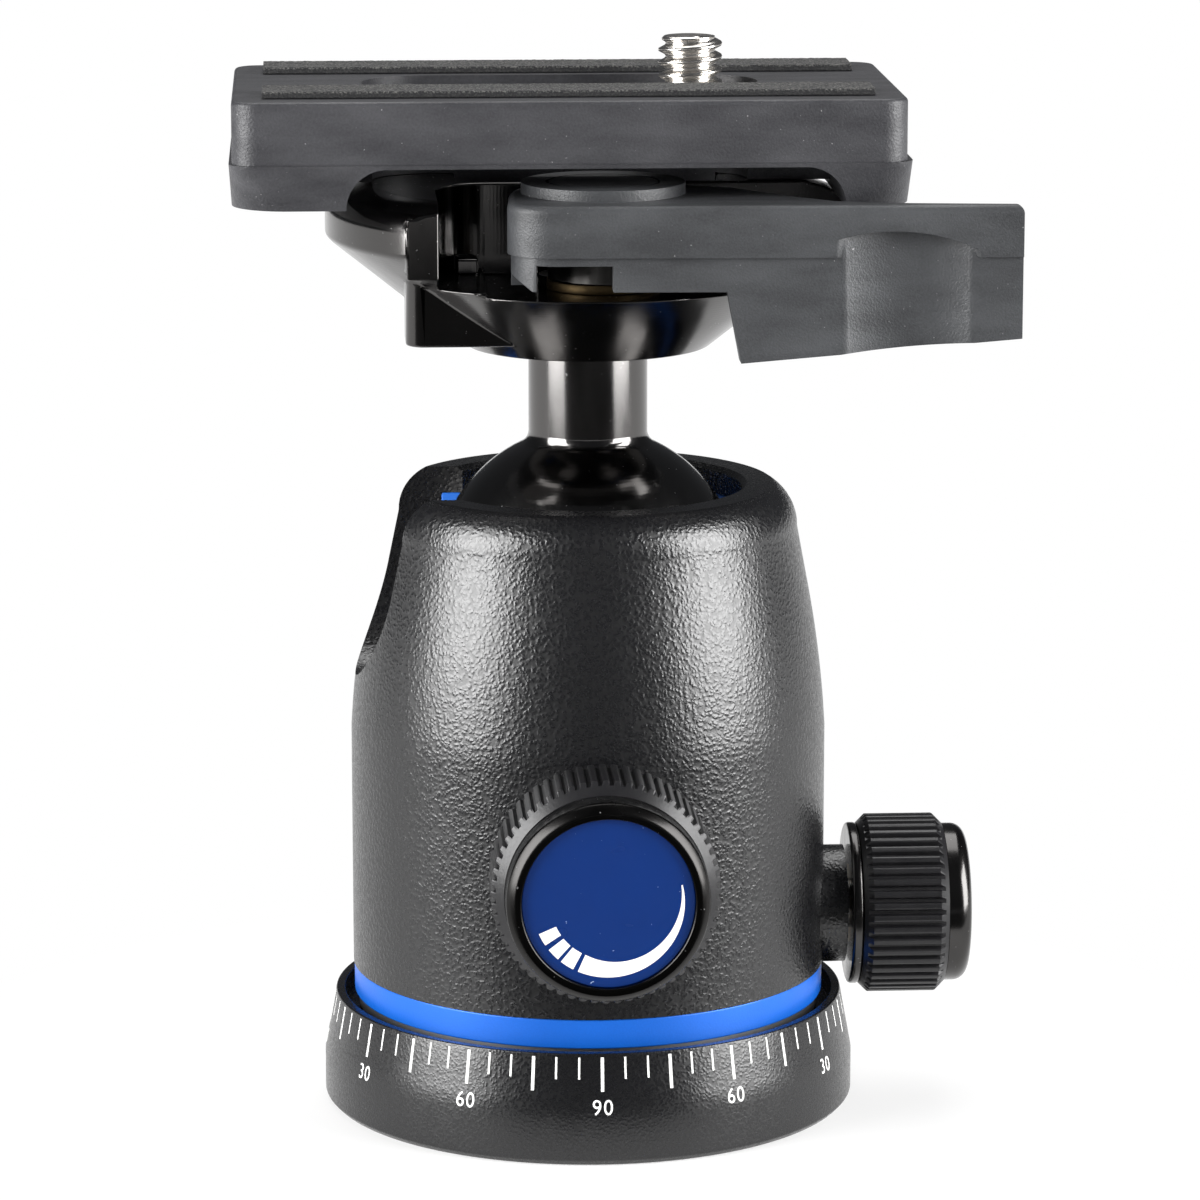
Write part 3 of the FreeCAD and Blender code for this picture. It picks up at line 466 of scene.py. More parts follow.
socket_screws.links.new(both.outputs["Mesh"], recess.inputs["Mesh 1"])
socket_screws.links.new(hexagon.outputs["Mesh"], recess.inputs["Mesh 2"])
out = geometry_node(socket_screws, "Transform")
shift = socket_screws.nodes.new("ShaderNodeCombineXYZ")
put(socket_screws, start["Circle"], shift.inputs["X"])
socket_screws.links.new(recess.outputs["Mesh"], out.inputs["Geometry"])
socket_screws.links.new(shift.outputs[0], out.inputs["Translation"])
row = geometry_node(socket_screws, "MeshLine")
socket_screws.links.new(start["Screws"], row.inputs["Count"])
row.inputs["Offset"].default_value = (0, 0, 0)
spin = socket_screws.nodes.new("ShaderNodeCombineXYZ")
index = geometry_node(socket_screws, "InputIndex").outputs[0]
step = calc(socket_screws, "DIVIDE", 2 * math.pi, start["Screws"])
put(socket_screws, calc(socket_screws, "MULTIPLY_ADD", index, step, start["First"]),
    spin.inputs["Z"])
placed = geometry_node(socket_screws, "InstanceOnPoints")
socket_screws.links.new(row.outputs["Mesh"], placed.inputs["Points"])
socket_screws.links.new(out.outputs["Geometry"], placed.inputs["Instance"])
socket_screws.links.new(spin.outputs[0], placed.inputs["Rotation"])
end_tree(socket_screws, start, placed.outputs["Instances"])

base_screws = grown(socket_screws, "base_screws.socket", plain_steel, Screws=3, First=math.pi / 2,
                    Circle=SCREW_CIRCLE * MM, HeadRadius=SCREW_HEAD[0] * MM,
                    HeadDepth=SCREW_HEAD[1] * MM, ShankRadius=SCREW_SHANK[0] * MM,
                    Length=SCREW_SHANK[1] * MM, HexRadius=SCREW_HEX_R * MM)
fitted(base_screws, plain_steel, "base", "plain_steel", "base_screws")

# The housing: a cast alloy body with a drop notch on its left, painted in a black wrinkle coat.
# A floor screwed on from below closes it, and a bright blue anodised ring trims the joint. Brass
# bushes carry the two lock screws.

housing_paint = textured_paint("housing_paint", 0.40, 0.030, 0.24, 0.75)
eased("ball_housing", 0.25, housing_paint, "black_wrinkle_paint", 35.0, True)

blue_anodise, tree, shader, place = new_finish("blue_anodise", (0.001, 0.11, 0.52), 0.34,
                                               metallic=0.25)
dust = noise(tree, place, 0.18, 3.0).outputs["Fac"]
cloud = noise(tree, place, 6.0).outputs["Fac"]
share = calc(tree, "MULTIPLY_ADD", dust, 0.6, calc(tree, "MULTIPLY", cloud, 0.4))
put(tree, blended(tree, share, (0.001, 0.085, 0.44), (0.003, 0.125, 0.60)),
    shader.inputs["Base Color"])
put(tree, spread(tree, dust, 0.46, 0.30), shader.inputs["Roughness"])
relief(tree, dust, 0.012, shader)
eased("blue_ring", 0.2, blue_anodise, "blue_anodised")

alloy, tree, shader, place = new_finish("alloy", (0.60, 0.60, 0.62), 0.38, metallic=1.0)
lines = noise(tree, stretched(tree, place, (0.05, 1, 1)), 0.12, 3.0).outputs["Fac"]
put(tree, blended(tree, lines, (0.46, 0.46, 0.48), (0.68, 0.68, 0.70)), shader.inputs["Base Color"])
put(tree, spread(tree, lines, 0.46, 0.30), shader.inputs["Roughness"])
relief(tree, lines, 0.008, shader)

dressed("housing_floor", alloy)
dressed("floor_screws", plain_steel)
dressed("wedge_plate", plain_steel)
dressed("wedge_spring", plain_steel)
dressed("main_bush", brass)
dressed("pan_bush", brass)

# The ball and its seats: the ball and stem are one turned piece in gloss black, and they sit
# between a blue moulded seat in the housing's mouth and a white seat ring on the lifter.


def gloss_black(name, roughness, tone, centre=(0, 0, 0), axis="Z"):
    """Polished black anodising: faint lathe rings, smears and a few specks of dust."""
    finish, tree, shader, place = new_finish(name, (tone, tone, tone), roughness, metallic=1.0)
    smear = noise(tree, stretched(tree, place, (1, 1, 0.3)), 3.5, 4.0).outputs["Fac"]
    speck = noise(tree, place, 0.35, 1.0).outputs["Fac"]
    dust = spread(tree, speck, 0.0, 1.0, 0.76, 0.82)
    put(tree, blended(tree, dust, (tone, 0.97 * tone, 0.95 * tone), (0.30, 0.30, 0.30)),
        shader.inputs["Base Color"])
    worn = spread(tree, smear, roughness - 0.03, roughness + 0.07, 0.3, 0.8)
    put(tree, calc(tree, "MULTIPLY_ADD", dust, 0.3, worn), shader.inputs["Roughness"])
    rings = tree.nodes.new("ShaderNodeTexWave")
    rings.wave_type = "RINGS"
    rings.rings_direction = axis
    rings.inputs["Scale"].default_value = 900.0
    rings.inputs["Distortion"].default_value = 2.0
    tree.links.new(stretched(tree, place, shift=[-c * MM for c in centre]), rings.inputs["Vector"])
    relief(tree, rings.outputs["Fac"], 0.0025, shader, 0.6)
    return finish


ball_black = gloss_black("ball_black", 0.13, 0.13)
eased("ball_stem", 0.1, ball_black, "gloss_black_anodised", 30.0)

blue_moulding, tree, shader, place = new_finish("blue_moulding", (0.01, 0.12, 0.55), 0.42)
flow = noise(tree, place, 2.5, 3.0).outputs["Fac"]
put(tree, blended(tree, flow, (0.008, 0.10, 0.48), (0.02, 0.16, 0.64)), shader.inputs["Base Color"])
put(tree, spread(tree, flow, 0.5, 0.36), shader.inputs["Roughness"])
relief(tree, noise(tree, place, 0.2).outputs["Fac"], 0.012, shader)
eased("upper_seat", 0.2, blue_moulding, "blue_plastic")
dressed("lower_seat", nylon)

# The ball lock: a screw pushes a wedge across the housing, the wedge raises the lifter, and a
# spring pushes it back. The knob on the screw has a cut, toothed grip in black, a glossy front
# shell, and a blue disc with a white arc printed on it.

knob_black, tree, shader, place = new_finish("knob_black", (0.008, 0.008, 0.009), 0.28)
cut = noise(tree, stretched(tree, place, (1, 0.15, 1)), 0.25, 3.0).outputs["Fac"]
wear = noise(tree, place, 2.0, 4.0).outputs["Fac"]
put(tree, blended(tree, calc(tree, "MULTIPLY", cut, wear), (0.004, 0.004, 0.005),
                  (0.020, 0.019, 0.020)), shader.inputs["Base Color"])
put(tree, spread(tree, cut, 0.42, 0.28), shader.inputs["Roughness"])
relief(tree, cut, 0.015, shader)

SAMPLES = 8
PROFILE_ROWS = 8

ribs, start = new_tree("ribbed_grip", Ribs=60, Radius=0.011, Depth=0.00045, Bevel=0.0012,
                       Back=0.024, Front=0.033)
grid = geometry_node(ribs, "MeshGrid")
around = calc(ribs, "MULTIPLY", start["Ribs"], float(SAMPLES))
put(ribs, calc(ribs, "ADD", around, 1.0), grid.inputs["Vertices X"])
grid.inputs["Vertices Y"].default_value = PROFILE_ROWS
index = geometry_node(ribs, "InputIndex").outputs[0]
columns_in = calc(ribs, "DIVIDE", calc(ribs, "ADD", index, 0.5), float(PROFILE_ROWS))
column = calc(ribs, "FLOOR", columns_in)
level = calc(ribs, "SUBTRACT", index, calc(ribs, "MULTIPLY", column, float(PROFILE_ROWS)))
angle = calc(ribs, "MULTIPLY", calc(ribs, "DIVIDE", column, around), 2 * math.pi)
tooth = calc(ribs, "COSINE", calc(ribs, "MULTIPLY", angle, start["Ribs"]))
crest = ribs.nodes.new("ShaderNodeClamp")
put(ribs, calc(ribs, "MULTIPLY_ADD", tooth, 1.2, 0.9), crest.inputs["Value"])
valley = calc(ribs, "SUBTRACT", 1.0, crest.outputs[0])
rib_radius = calc(ribs, "SUBTRACT", start["Radius"], calc(ribs, "MULTIPLY", valley, start["Depth"]))
inset = calc(ribs, "SUBTRACT", start["Bevel"], start["Depth"])
limits = (-1.0, start["Bevel"], start["Depth"], 0.0, 0.0, start["Depth"], start["Bevel"], -1.0)
ends = (0.0, 0.0, inset, start["Bevel"], start["Bevel"], inset, 0.0, 0.0)
pick_limit = geometry_node(ribs, "IndexSwitch", data_type="FLOAT")
pick_end = geometry_node(ribs, "IndexSwitch", data_type="FLOAT")
for switch, values in ((pick_limit, limits), (pick_end, ends)):
    while len(switch.index_switch_items) < PROFILE_ROWS:
        switch.index_switch_items.new()
    put(ribs, level, switch.inputs["Index"])
    for socket, value in zip(list(switch.inputs)[1:], values):
        put(ribs, value, socket)
blank_radius = calc(ribs, "SUBTRACT", start["Radius"], pick_limit.outputs[0])
at_centre = calc(ribs, "LESS_THAN", pick_limit.outputs[0], -0.5)
radius = calc(ribs, "MULTIPLY", calc(ribs, "MINIMUM", rib_radius, blank_radius),
              calc(ribs, "SUBTRACT", 1.0, at_centre))
front_half = calc(ribs, "GREATER_THAN", level, PROFILE_ROWS / 2 - 0.5)
back_height = calc(ribs, "ADD", start["Back"], pick_end.outputs[0])
front_height = calc(ribs, "SUBTRACT", start["Front"], pick_end.outputs[0])
rise = calc(ribs, "SUBTRACT", front_height, back_height)
height = calc(ribs, "MULTIPLY_ADD", rise, front_half, back_height)
spot = ribs.nodes.new("ShaderNodeCombineXYZ")
put(ribs, calc(ribs, "MULTIPLY", radius, calc(ribs, "COSINE", angle)), spot.inputs["X"])
put(ribs, calc(ribs, "MULTIPLY", radius, calc(ribs, "SINE", angle)), spot.inputs["Y"])
put(ribs, height, spot.inputs["Z"])
shape = geometry_node(ribs, "SetPosition")
ribs.links.new(grid.outputs["Mesh"], shape.inputs["Geometry"])
ribs.links.new(spot.outputs[0], shape.inputs["Position"])
end_tree(ribs, start, shape.outputs[0])


def outward(mesh):
    """Turns every face of a closed mesh to the outside."""
    work = bmesh.new()
    work.from_mesh(mesh)
    bmesh.ops.remove_doubles(work, verts=work.verts, dist=1e-7)
    bmesh.ops.dissolve_degenerate(work, edges=work.edges, dist=1e-7)
    bmesh.ops.recalc_face_normals(work, faces=work.faces)
    work.to_mesh(mesh)
    work.free()


def knob_grip(node, body, stand, count, radius, depth, bevel, back, front):
    """A toothed grip that stands for a CAD node; stand turns it from Z to its own axis."""
    made = grown(ribs, node + ".ribbed", knob_black, Ribs=count, Radius=radius * MM,
                 Depth=depth * MM, Bevel=bevel * MM, Back=back * MM, Front=front * MM)
    made.data.transform(stand)
    outward(made.data)
    return fitted(made, knob_black, body, "black_knob_metal", node)


MAIN_Z = 29.1
FACING_FRONT = Matrix.Translation((0, 0, MAIN_Z * MM)) @ Matrix.Rotation(math.radians(90), 4, "X")
knob_grip("main_grip", "main_knob", FACING_FRONT, count=60, radius=11.0, depth=0.45, bevel=1.2,
          back=24.4, front=33.5)

shell_black = gloss_black("shell_black", 0.24, 0.03, (0, 0, MAIN_Z), "Y")
eased("main_ring", 0.2, shell_black, "gloss_black_anodised")

badge_blue, tree, shader, place = new_finish("badge_blue", (0.0, 0.018, 0.115), 0.26)
cloud = noise(tree, place, 5.0).outputs["Fac"]
speck = spread(tree, noise(tree, place, 0.3, 1.0).outputs["Fac"], 0.0, 1.0, 0.79, 0.83)
tone = blended(tree, cloud, (0.0, 0.016, 0.106), (0.001, 0.020, 0.123))
put(tree, blended(tree, speck, tone, (0.25, 0.35, 0.55)), shader.inputs["Base Color"])
put(tree, spread(tree, cloud, 0.30, 0.22), shader.inputs["Roughness"])
relief(tree, noise(tree, place, 0.12).outputs["Fac"], 0.004, shader)
eased("main_badge", 0.1, badge_blue, "blue_badge")

print_white, tree, shader, place = new_finish("print_white", (0.80, 0.79, 0.76), 0.45)
ink = noise(tree, place, 0.5, 3.0).outputs["Fac"]
put(tree, blended(tree, ink, (0.74, 0.73, 0.70), (0.84, 0.83, 0.80)), shader.inputs["Base Color"])
put(tree, spread(tree, ink, 0.5, 0.4), shader.inputs["Roughness"])

BADGE_R = 8.25
BADGE_FACE = -36.5
PRINT_PROUD = 0.02
PRINT_OUTER = 0.875
PRINT_INNER = 0.66
ARC_END_INNER = 0.86
ARC_ANGLES = (246, 374)
BLOCK_ANGLES = ((203.5, 213.5), (218, 228), (231, 242))


def printed_band(name, first, last, inner_first, inner_last):
    """A printed stripe on the badge between two angles, with its inner edge running outwards."""
    work = bmesh.new()
    steps = max(4, int(abs(last - first) / 3))
    rows = []
    for i in range(steps + 1):
        share = i / steps
        angle = math.radians(first + share * (last - first))
        inner = inner_first + (inner_last - inner_first) * share ** 1.15
        row = []
        for r, y in ((inner, BADGE_FACE + 0.01), (inner, BADGE_FACE - PRINT_PROUD),
                     (PRINT_OUTER, BADGE_FACE - PRINT_PROUD), (PRINT_OUTER, BADGE_FACE + 0.01)):
            x = r * BADGE_R * math.cos(angle)
            z = MAIN_Z + r * BADGE_R * math.sin(angle)
            row.append(work.verts.new(Vector((x, y, z)) * MM))
        rows.append(row)
    for a, b in zip(rows, rows[1:]):
        for k in range(4):
            work.faces.new((a[k], a[(k + 1) % 4], b[(k + 1) % 4], b[k]))
    work.faces.new(rows[0])
    work.faces.new(rows[-1])
    bmesh.ops.recalc_face_normals(work, faces=work.faces)
    mesh = bpy.data.meshes.new(name)
    work.to_mesh(mesh)
    work.free()
    made = bpy.data.objects.new(name, mesh)
    bpy.context.scene.collection.objects.link(made)
    return fitted(made, print_white, "main_knob", "blue_badge")


printed_band("print_arc", *ARC_ANGLES, PRINT_INNER, ARC_END_INNER)
for number, (first, last) in enumerate(BLOCK_ANGLES):
    printed_band(f"print_block_{number}", first, last, PRINT_INNER, PRINT_INNER)

dressed("main_screw", plain_steel)
dressed("lock_wedge", plain_steel)
dressed("seat_lifter", alloy)

# The panning lock: a smaller toothed knob on the right, with a plain collar behind it and a
# rounded gloss cap on its end. Its screw presses a shoe against the drum in the base.

PAN_Z = 19.1
FACING_RIGHT = Matrix.Translation((0, 0, PAN_Z * MM)) @ Matrix.Rotation(math.radians(90), 4, "Y")
knob_grip("pan_grip", "pan_knob", FACING_RIGHT, count=46, radius=9.05, depth=0.5, bevel=0.9,
          back=27.4, front=36.0)
cap_black = gloss_black("cap_black", 0.20, 0.07, (0, 0, PAN_Z), "X")
eased("pan_flange", 0.3, cap_black, "gloss_black_anodised")
eased("pan_cap", 0.1, cap_black, "gloss_black_anodised")
dressed("pan_screw", plain_steel)
dressed("pan_brake_shoe", alloy)

# The clamp: a bowl turned and milled from alloy, anodised in gloss black, bolted on the stem.
# A pocket in its front holds the lever on a steel pin, darkened as painted shade, and a jaw
# slides in the cavity that takes the plate's key.

clamp_black = gloss_black("clamp_black", 0.16, 0.10)
eased("clamp_body", 0.25, clamp_black, "gloss_black_anodised")
eased("clamp_jaw", 0.2, alloy, "alloy")
eased("clamp_bolt", 0.15, plain_steel, "plain_steel")
PIVOT = (0.9, -11.0, 0)
# painted shade: the steel of the pin and the cam is darkened for the shade inside the lever's
# pocket
shade_darkened_steel = turned_metal("shade_darkened_steel", (0.030, 0.029, 0.028), (0.060, 0.058, 0.056), 0.36,
                           centre=PIVOT)
eased("pivot_pin", 0.1, shade_darkened_steel, "plain_steel")
# painted shade: the washer's brass is darkened to stand for the shade under the lever
pivot_brass_in_painted_shade = turned_metal("pivot_brass_in_painted_shade", (0.035, 0.025, 0.013), (0.10, 0.07, 0.035), 0.45,
                           centre=PIVOT)
eased("pivot_washer", 0.1, pivot_brass_in_painted_shade, "brass")

# The lever: a dark moulding with a round head, an arm and a finger plate with a scoop. Its cam
# pushes the jaw as it closes, and a round cap covers the pivot.


def dark_moulding(name, dark, light, roughness, grain, depth):
    """Glass-filled plastic: cloudy grey, a dull fine grain, and pale rubbed specks."""
    finish, tree, shader, place = new_finish(name, light, roughness)
    cloud = noise(tree, stretched(tree, place, (0.35, 1, 1)), 3.0, 5.0).outputs["Fac"]
    fine = noise(tree, place, grain, 3.0).outputs["Fac"]
    share = calc(tree, "MULTIPLY_ADD", cloud, 0.75, calc(tree, "MULTIPLY", fine, 0.35))
    tone = blended(tree, spread(tree, share, 0.0, 1.0, 0.38, 0.72), dark, light)
    speck = spread(tree, noise(tree, place, 0.3, 1.0).outputs["Fac"], 0.0, 0.6, 0.77, 0.83)
    put(tree, blended(tree, speck, tone, (0.3, 0.3, 0.3)), shader.inputs["Base Color"])
    put(tree, spread(tree, share, roughness + 0.10, roughness - 0.08, 0.3, 0.8),
        shader.inputs["Roughness"])
    relief(tree, calc(tree, "MULTIPLY_ADD", cloud, 0.8, fine), depth, shader)
    return finish


lever_grey = dark_moulding("lever_grey", (0.018, 0.019, 0.021), (0.045, 0.047, 0.050), 0.46,
                           0.20, 0.05)
eased("clamp_lever", 0.22, lever_grey, "lever_plastic", 30.0, True)
eased("lever_cap", 0.2, lever_grey, "lever_plastic")
# painted shade: the cam's steel is darkened for the shade inside the lever's pocket
dressed("lever_cam", shade_darkened_steel)

# The camera plate: a dark moulding with a slot for the screw, an arch in its skirt and a key
# below that drops into the clamp. Two granular rubber strips are glued along its top.

plate_grey = dark_moulding("plate_grey", (0.015, 0.015, 0.018), (0.044, 0.044, 0.048), 0.46,
                           0.24, 0.055)
eased("plate_body", 0.25, plate_grey, "dark_plastic", 30.0, True)


def height_of(tree, place):
    """The height of a point in millimetres, to tell a strip's top from its sides."""
    split = tree.nodes.new("ShaderNodeSeparateXYZ")
    tree.links.new(place, split.inputs[0])
    return calc(tree, "DIVIDE", split.outputs["Z"], MM)


rubber, tree, shader, place = new_finish("rubber", (0.030, 0.030, 0.030), 0.75, specular=0.45)
crumb = noise(tree, place, 0.20, 3.0).outputs["Fac"]
STRIP_TOP_FROM, STRIP_TOP_TO = 103.50, 103.66
# the strip's top gets paler crumbs than its sides
paler_top = spread(tree, height_of(tree, place), 0.15, 1.0, STRIP_TOP_FROM, STRIP_TOP_TO)
pale = calc(tree, "MULTIPLY", spread(tree, crumb, 0.0, 1.0, 0.46, 0.66), paler_top)
put(tree, blended(tree, pale, (0.010, 0.010, 0.011), (0.13, 0.127, 0.12)),
    shader.inputs["Base Color"])
put(tree, spread(tree, crumb, 0.9, 0.65), shader.inputs["Roughness"])
relief(tree, crumb, 0.08, shader)

strip, start = new_tree("grained_strip", Length=0.059, Width=0.0063, Thickness=0.00075,
                        Along=300, Across=34, GrainSize=0.0003, GrainDepth=0.0001, Seed=3)
slab = geometry_node(strip, "MeshCube")
extent = strip.nodes.new("ShaderNodeCombineXYZ")
put(strip, start["Length"], extent.inputs["X"])
put(strip, start["Width"], extent.inputs["Y"])
put(strip, start["Thickness"], extent.inputs["Z"])
strip.links.new(extent.outputs[0], slab.inputs["Size"])
put(strip, start["Along"], slab.inputs["Vertices X"])
put(strip, start["Across"], slab.inputs["Vertices Y"])
slab.inputs["Vertices Z"].default_value = 5
crumbs = strip.nodes.new("ShaderNodeTexNoise")
crumbs.noise_dimensions = "4D"
put(strip, start["Seed"], crumbs.inputs["W"])
put(strip, calc(strip, "DIVIDE", 1.0, start["GrainSize"]), crumbs.inputs["Scale"])
sink = strip.nodes.new("ShaderNodeVectorMath")
sink.operation = "SCALE"
strip.links.new(geometry_node(strip, "InputNormal").outputs[0], sink.inputs[0])
amount = calc(strip, "MULTIPLY", calc(strip, "MULTIPLY", crumbs.outputs["Fac"], -1.6),
              start["GrainDepth"])
put(strip, amount, sink.inputs["Scale"])
rough = geometry_node(strip, "SetPosition")
strip.links.new(slab.outputs["Mesh"], rough.inputs["Geometry"])
strip.links.new(sink.outputs[0], rough.inputs["Offset"])
end_tree(strip, start, rough.outputs[0], True)

CRUMB_SIZE = 0.3
CRUMB_DEPTH = 0.09
for node, seed in (("front_pad", 3), ("rear_pad", 8)):
    low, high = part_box(node)
    pad = grown(strip, node + ".grained", rubber, Length=high.x - low.x, Width=high.y - low.y,
                Thickness=high.z - low.z, Along=300, Across=34, GrainSize=CRUMB_SIZE * MM,
                GrainDepth=CRUMB_DEPTH * MM, Seed=seed)
    pad.data.transform(Matrix.Translation((low + high) / 2))
    fitted(pad, rubber, "plate", "strip_rubber", node)

# The camera screw: a plated steel 1/4 inch screw with a slotted head, which slides along the
# plate's slot in a flanged washer. Its thread is rolled, with sharp crests and a chamfered tip.

chrome, tree, shader, place = new_finish("chrome", (0.82, 0.79, 0.75), 0.20, metallic=1.0)
haze = noise(tree, place, 1.2, 4.0).outputs["Fac"]
put(tree, blended(tree, haze, (0.68, 0.65, 0.61), (0.90, 0.87, 0.83)), shader.inputs["Base Color"])
put(tree, spread(tree, haze, 0.30, 0.16), shader.inputs["Roughness"])
relief(tree, noise(tree, place, 0.15).outputs["Fac"], 0.004, shader)
eased("screw_washer", 0.1, chrome, "bright_steel")

ROWS_PER_TURN = 8

thread, start = new_tree("screw_thread", Around=72, Rows=60, Radius=0.003175, Depth=0.00075,
                         Pitch=0.00127, Bottom=0.1, Top=0.1075, Chamfer=0.0005)
grid = geometry_node(thread, "MeshGrid")
put(thread, calc(thread, "ADD", start["Around"], 1.0), grid.inputs["Vertices X"])
put(thread, start["Rows"], grid.inputs["Vertices Y"])
index = geometry_node(thread, "InputIndex").outputs[0]
columns_in = calc(thread, "DIVIDE", calc(thread, "ADD", index, 0.5), start["Rows"])
column = calc(thread, "FLOOR", columns_in)
level = calc(thread, "SUBTRACT", index, calc(thread, "MULTIPLY", column, start["Rows"]))
turn = calc(thread, "DIVIDE", column, start["Around"])
rows_up = calc(thread, "SUBTRACT", level, 1.0 + ROWS_PER_TURN)
climb = calc(thread, "ADD", calc(thread, "DIVIDE", rows_up, float(ROWS_PER_TURN)), turn)
height = thread.nodes.new("ShaderNodeClamp")
lifted = calc(thread, "MULTIPLY_ADD", climb, start["Pitch"], start["Bottom"])
put(thread, lifted, height.inputs["Value"])
put(thread, start["Bottom"], height.inputs["Min"])
put(thread, start["Top"], height.inputs["Max"])
above_start = calc(thread, "SUBTRACT", height.outputs[0], start["Bottom"])
risen = calc(thread, "DIVIDE", above_start, start["Pitch"])
phase = calc(thread, "MULTIPLY", calc(thread, "SUBTRACT", risen, turn), 2 * math.pi)
flank = thread.nodes.new("ShaderNodeClamp")
wave = calc(thread, "MULTIPLY_ADD", calc(thread, "COSINE", phase), -0.557, 0.5)
put(thread, wave, flank.inputs["Value"])
cut_in = calc(thread, "MULTIPLY", calc(thread, "SUBTRACT", 1.0, flank.outputs[0]), start["Depth"])
thread_radius = calc(thread, "SUBTRACT", start["Radius"], cut_in)
into_chamfer = calc(thread, "ADD", height.outputs[0], start["Chamfer"])
over = calc(thread, "SUBTRACT", into_chamfer, start["Top"])
tip_radius = calc(thread, "SUBTRACT", start["Radius"], calc(thread, "MAXIMUM", over, 0.0))
solid = calc(thread, "MULTIPLY", calc(thread, "GREATER_THAN", level, 0.5),
             calc(thread, "LESS_THAN", level, calc(thread, "SUBTRACT", start["Rows"], 1.5)))
radius = calc(thread, "MULTIPLY", calc(thread, "MINIMUM", thread_radius, tip_radius), solid)
angle = calc(thread, "MULTIPLY", turn, 2 * math.pi)
spot = thread.nodes.new("ShaderNodeCombineXYZ")
put(thread, calc(thread, "MULTIPLY", radius, calc(thread, "COSINE", angle)), spot.inputs["X"])
put(thread, calc(thread, "MULTIPLY", radius, calc(thread, "SINE", angle)), spot.inputs["Y"])
put(thread, height.outputs[0], spot.inputs["Z"])
shape = geometry_node(thread, "SetPosition")
thread.links.new(grid.outputs["Mesh"], shape.inputs["Geometry"])
thread.links.new(spot.outputs[0], shape.inputs["Position"])
end_tree(thread, start, shape.outputs[0], True)

SCREW_X = 10.1
NECK_R = 2.45
HEAD_LOW, HEAD_TOP, THREAD_LOW, SCREW_TOP = 97.6, 100.65, 102.35, 107.5
HEAD_R = 5.4
DRIVER_SLOT_HALF, DRIVER_SLOT_DEPTH = 0.8, 1.2
THREAD_R, THREAD_DEPTH, PITCH, TIP_CHAMFER = 3.175, 0.75, 1.27, 0.6
NECK_REACH = 0.3
rows = int((SCREW_TOP - THREAD_LOW) / PITCH + 3) * ROWS_PER_TURN
shank = grown(thread, "screw_thread", chrome, Around=72, Rows=rows, Radius=THREAD_R * MM,
              Depth=THREAD_DEPTH * MM, Pitch=PITCH * MM, Bottom=THREAD_LOW * MM,
              Top=SCREW_TOP * MM, Chamfer=TIP_CHAMFER * MM)
shank.data.transform(Matrix.Translation((SCREW_X * MM, 0, 0)))
outward(shank.data)
fitted(shank, chrome, "screw", "bright_steel", "camera_screw")


def slotted_head(radius, low, high, half_slot, slot_depth, steps=64):
    """The screw's head and neck: a disc with two half rounds below it, and the undercut above."""
    work = bmesh.new()
    neck = bmesh.ops.create_cone(work, cap_ends=True, segments=steps, radius1=NECK_R,
                                 radius2=NECK_R, depth=THREAD_LOW + NECK_REACH - high)
    neck_middle = (THREAD_LOW + NECK_REACH + high) / 2
    bmesh.ops.translate(work, verts=neck["verts"], vec=(0, 0, neck_middle))
    disc = bmesh.ops.create_cone(work, cap_ends=True, segments=steps, radius1=radius,
                                 radius2=radius, depth=high - low - slot_depth)
    bmesh.ops.translate(work, verts=disc["verts"], vec=(0, 0, (low + slot_depth + high) / 2))
    for side in (-1, 1):
        reach = math.acos(half_slot / radius)
        rim = [(side * radius * math.cos(a), radius * math.sin(a))
               for a in [reach * (2 * i / 24 - 1) for i in range(25)]]
        under = [work.verts.new((x, y, low)) for x, y in rim]
        above = [work.verts.new((x, y, low + slot_depth)) for x, y in rim]
        work.faces.new(under)
        work.faces.new(above)
        for i in range(len(rim)):
            j = (i + 1) % len(rim)
            work.faces.new((under[i], under[j], above[j], above[i]))
    bmesh.ops.recalc_face_normals(work, faces=work.faces)
    bmesh.ops.scale(work, verts=work.verts, vec=(MM, MM, MM))
    bmesh.ops.translate(work, verts=work.verts, vec=(SCREW_X * MM, 0, 0))
    mesh = bpy.data.meshes.new("screw_head")
    work.to_mesh(mesh)
    work.free()
    made = bpy.data.objects.new("screw_head", mesh)
    bpy.context.scene.collection.objects.link(made)
    return fitted(made, chrome, "screw", "bright_steel")


slotted_head(HEAD_R, HEAD_LOW, HEAD_TOP, DRIVER_SLOT_HALF, DRIVER_SLOT_DEPTH)

# The studio: a white floor, two softboxes at the sides of the camera, a softer one overhead, a
# black card in front that only reflections see, and the camera at the photograph's angle.


def studio_sheet(name, left, right, front, back, height):
    """A flat sheet of the studio in metres, lying level at that height."""
    mesh = bpy.data.meshes.new(name)
    corners = [(left, front, height), (right, front, height),
               (right, back, height), (left, back, height)]
    mesh.from_pydata(corners, [], [(0, 1, 2, 3)])
    sheet = bpy.data.objects.new(name, mesh)
    bpy.context.scene.collection.objects.link(sheet)
    return sheet


floor = studio_sheet("floor", left=-4.0, right=4.0, front=-4.0, back=4.0, height=0.0)
floor_white, tree, shader, place = new_finish("floor_white", (0.86, 0.855, 0.85), 0.9,
                                              specular=0.1)
glow = tree.nodes.new("ShaderNodeEmission")
glow.inputs["Color"].default_value = (1, 1, 1, 1)
glow.inputs["Strength"].default_value = 1.0
paths = tree.nodes.new("ShaderNodeLightPath")
in_reflections = calc(tree, "MAXIMUM", paths.outputs["Is Glossy Ray"],
                      paths.outputs["Is Transmission Ray"])
seen = calc(tree, "MAXIMUM", paths.outputs["Is Camera Ray"], in_reflections)
far = tree.nodes.new("ShaderNodeVectorMath")
far.operation = "LENGTH"
tree.links.new(place, far.inputs[0])
clear = spread(tree, far.outputs["Value"], 0.45, 1.0, 0.02, 0.075)
mix = tree.nodes.new("ShaderNodeMixShader")
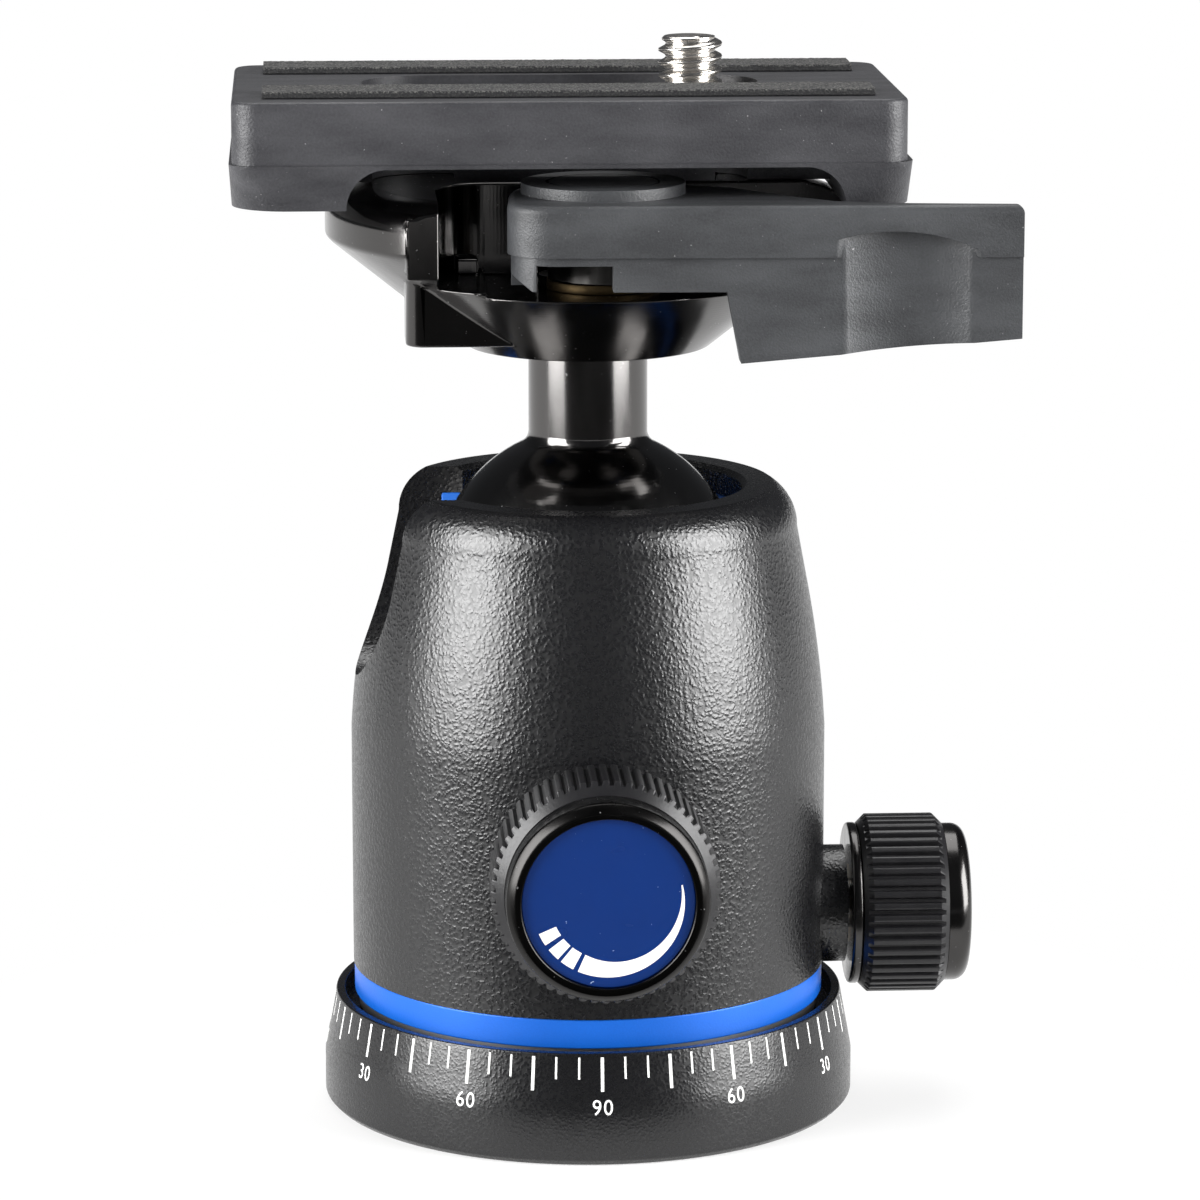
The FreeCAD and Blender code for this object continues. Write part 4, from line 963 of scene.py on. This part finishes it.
tree.links.new(calc(tree, "MULTIPLY", seen, clear), mix.inputs[0])
tree.links.new(shader.outputs[0], mix.inputs[1])
tree.links.new(glow.outputs[0], mix.inputs[2])
tree.links.new(mix.outputs[0], tree.nodes["Material Output"].inputs["Surface"])
floor.data.materials.append(floor_white)

flag = studio_sheet("flag", left=-0.7, right=0.7, front=-0.9, back=-0.042, height=0.001)
flag.visible_camera = False
flag.visible_diffuse = False
flag.visible_shadow = False
flag_black = new_finish("flag_black", (0.02, 0.02, 0.02), 0.9, specular=0.1)[0]
flag.data.materials.append(flag_black)

world = bpy.data.worlds.new("studio")
bpy.context.scene.world = world
world.use_nodes = True
sky = world.node_tree.nodes["Background"]
sky.inputs["Color"].default_value = (0.9, 0.93, 1.0, 1.0)
sky.inputs["Strength"].default_value = 0.06


MIDDLE_Z = 55.0


def softbox(name, azimuth, elevation, distance, width, height, power):
    """A lamp that faces the object's middle; azimuth 0 is at the camera's side, 90 is at +X."""
    lamp = bpy.data.lights.new(name, "AREA")
    lamp.shape = "RECTANGLE"
    lamp.size = width
    lamp.size_y = height
    lamp.energy = power
    holder = bpy.data.objects.new(name, lamp)
    bpy.context.scene.collection.objects.link(holder)
    a, e = math.radians(azimuth), math.radians(elevation)
    away = Vector((math.sin(a) * math.cos(e), -math.cos(a) * math.cos(e), math.sin(e)))
    holder.location = Vector((0, 0, MIDDLE_Z * MM)) + away * distance
    holder.rotation_mode = "QUATERNION"
    holder.rotation_quaternion = away.to_track_quat("Z", "Y")
    return holder


for name, side in (("left_box", -66), ("right_box", 66)):
    softbox(name, azimuth=side, elevation=17, distance=0.40, width=0.28, height=0.34, power=3.8)
softbox("top_box", azimuth=180, elevation=66, distance=0.60, width=0.45, height=0.45, power=2.2)

CAMERA_AT = (-28.056, -522.559, 159.422)
CAMERA_LOOKS = (0.05475868, 0.97763095, -0.20307442)

lens = bpy.data.cameras.new("camera")
lens.sensor_width = 36.0
lens.lens = 159.58
camera = bpy.data.objects.new("camera", lens)
bpy.context.scene.collection.objects.link(camera)
camera.location = Vector(CAMERA_AT) * MM
camera.rotation_mode = "QUATERNION"
camera.rotation_quaternion = Vector(CAMERA_LOOKS).to_track_quat("-Z", "Y")
bpy.context.scene.camera = camera
bpy.context.scene.view_settings.view_transform = "Standard"
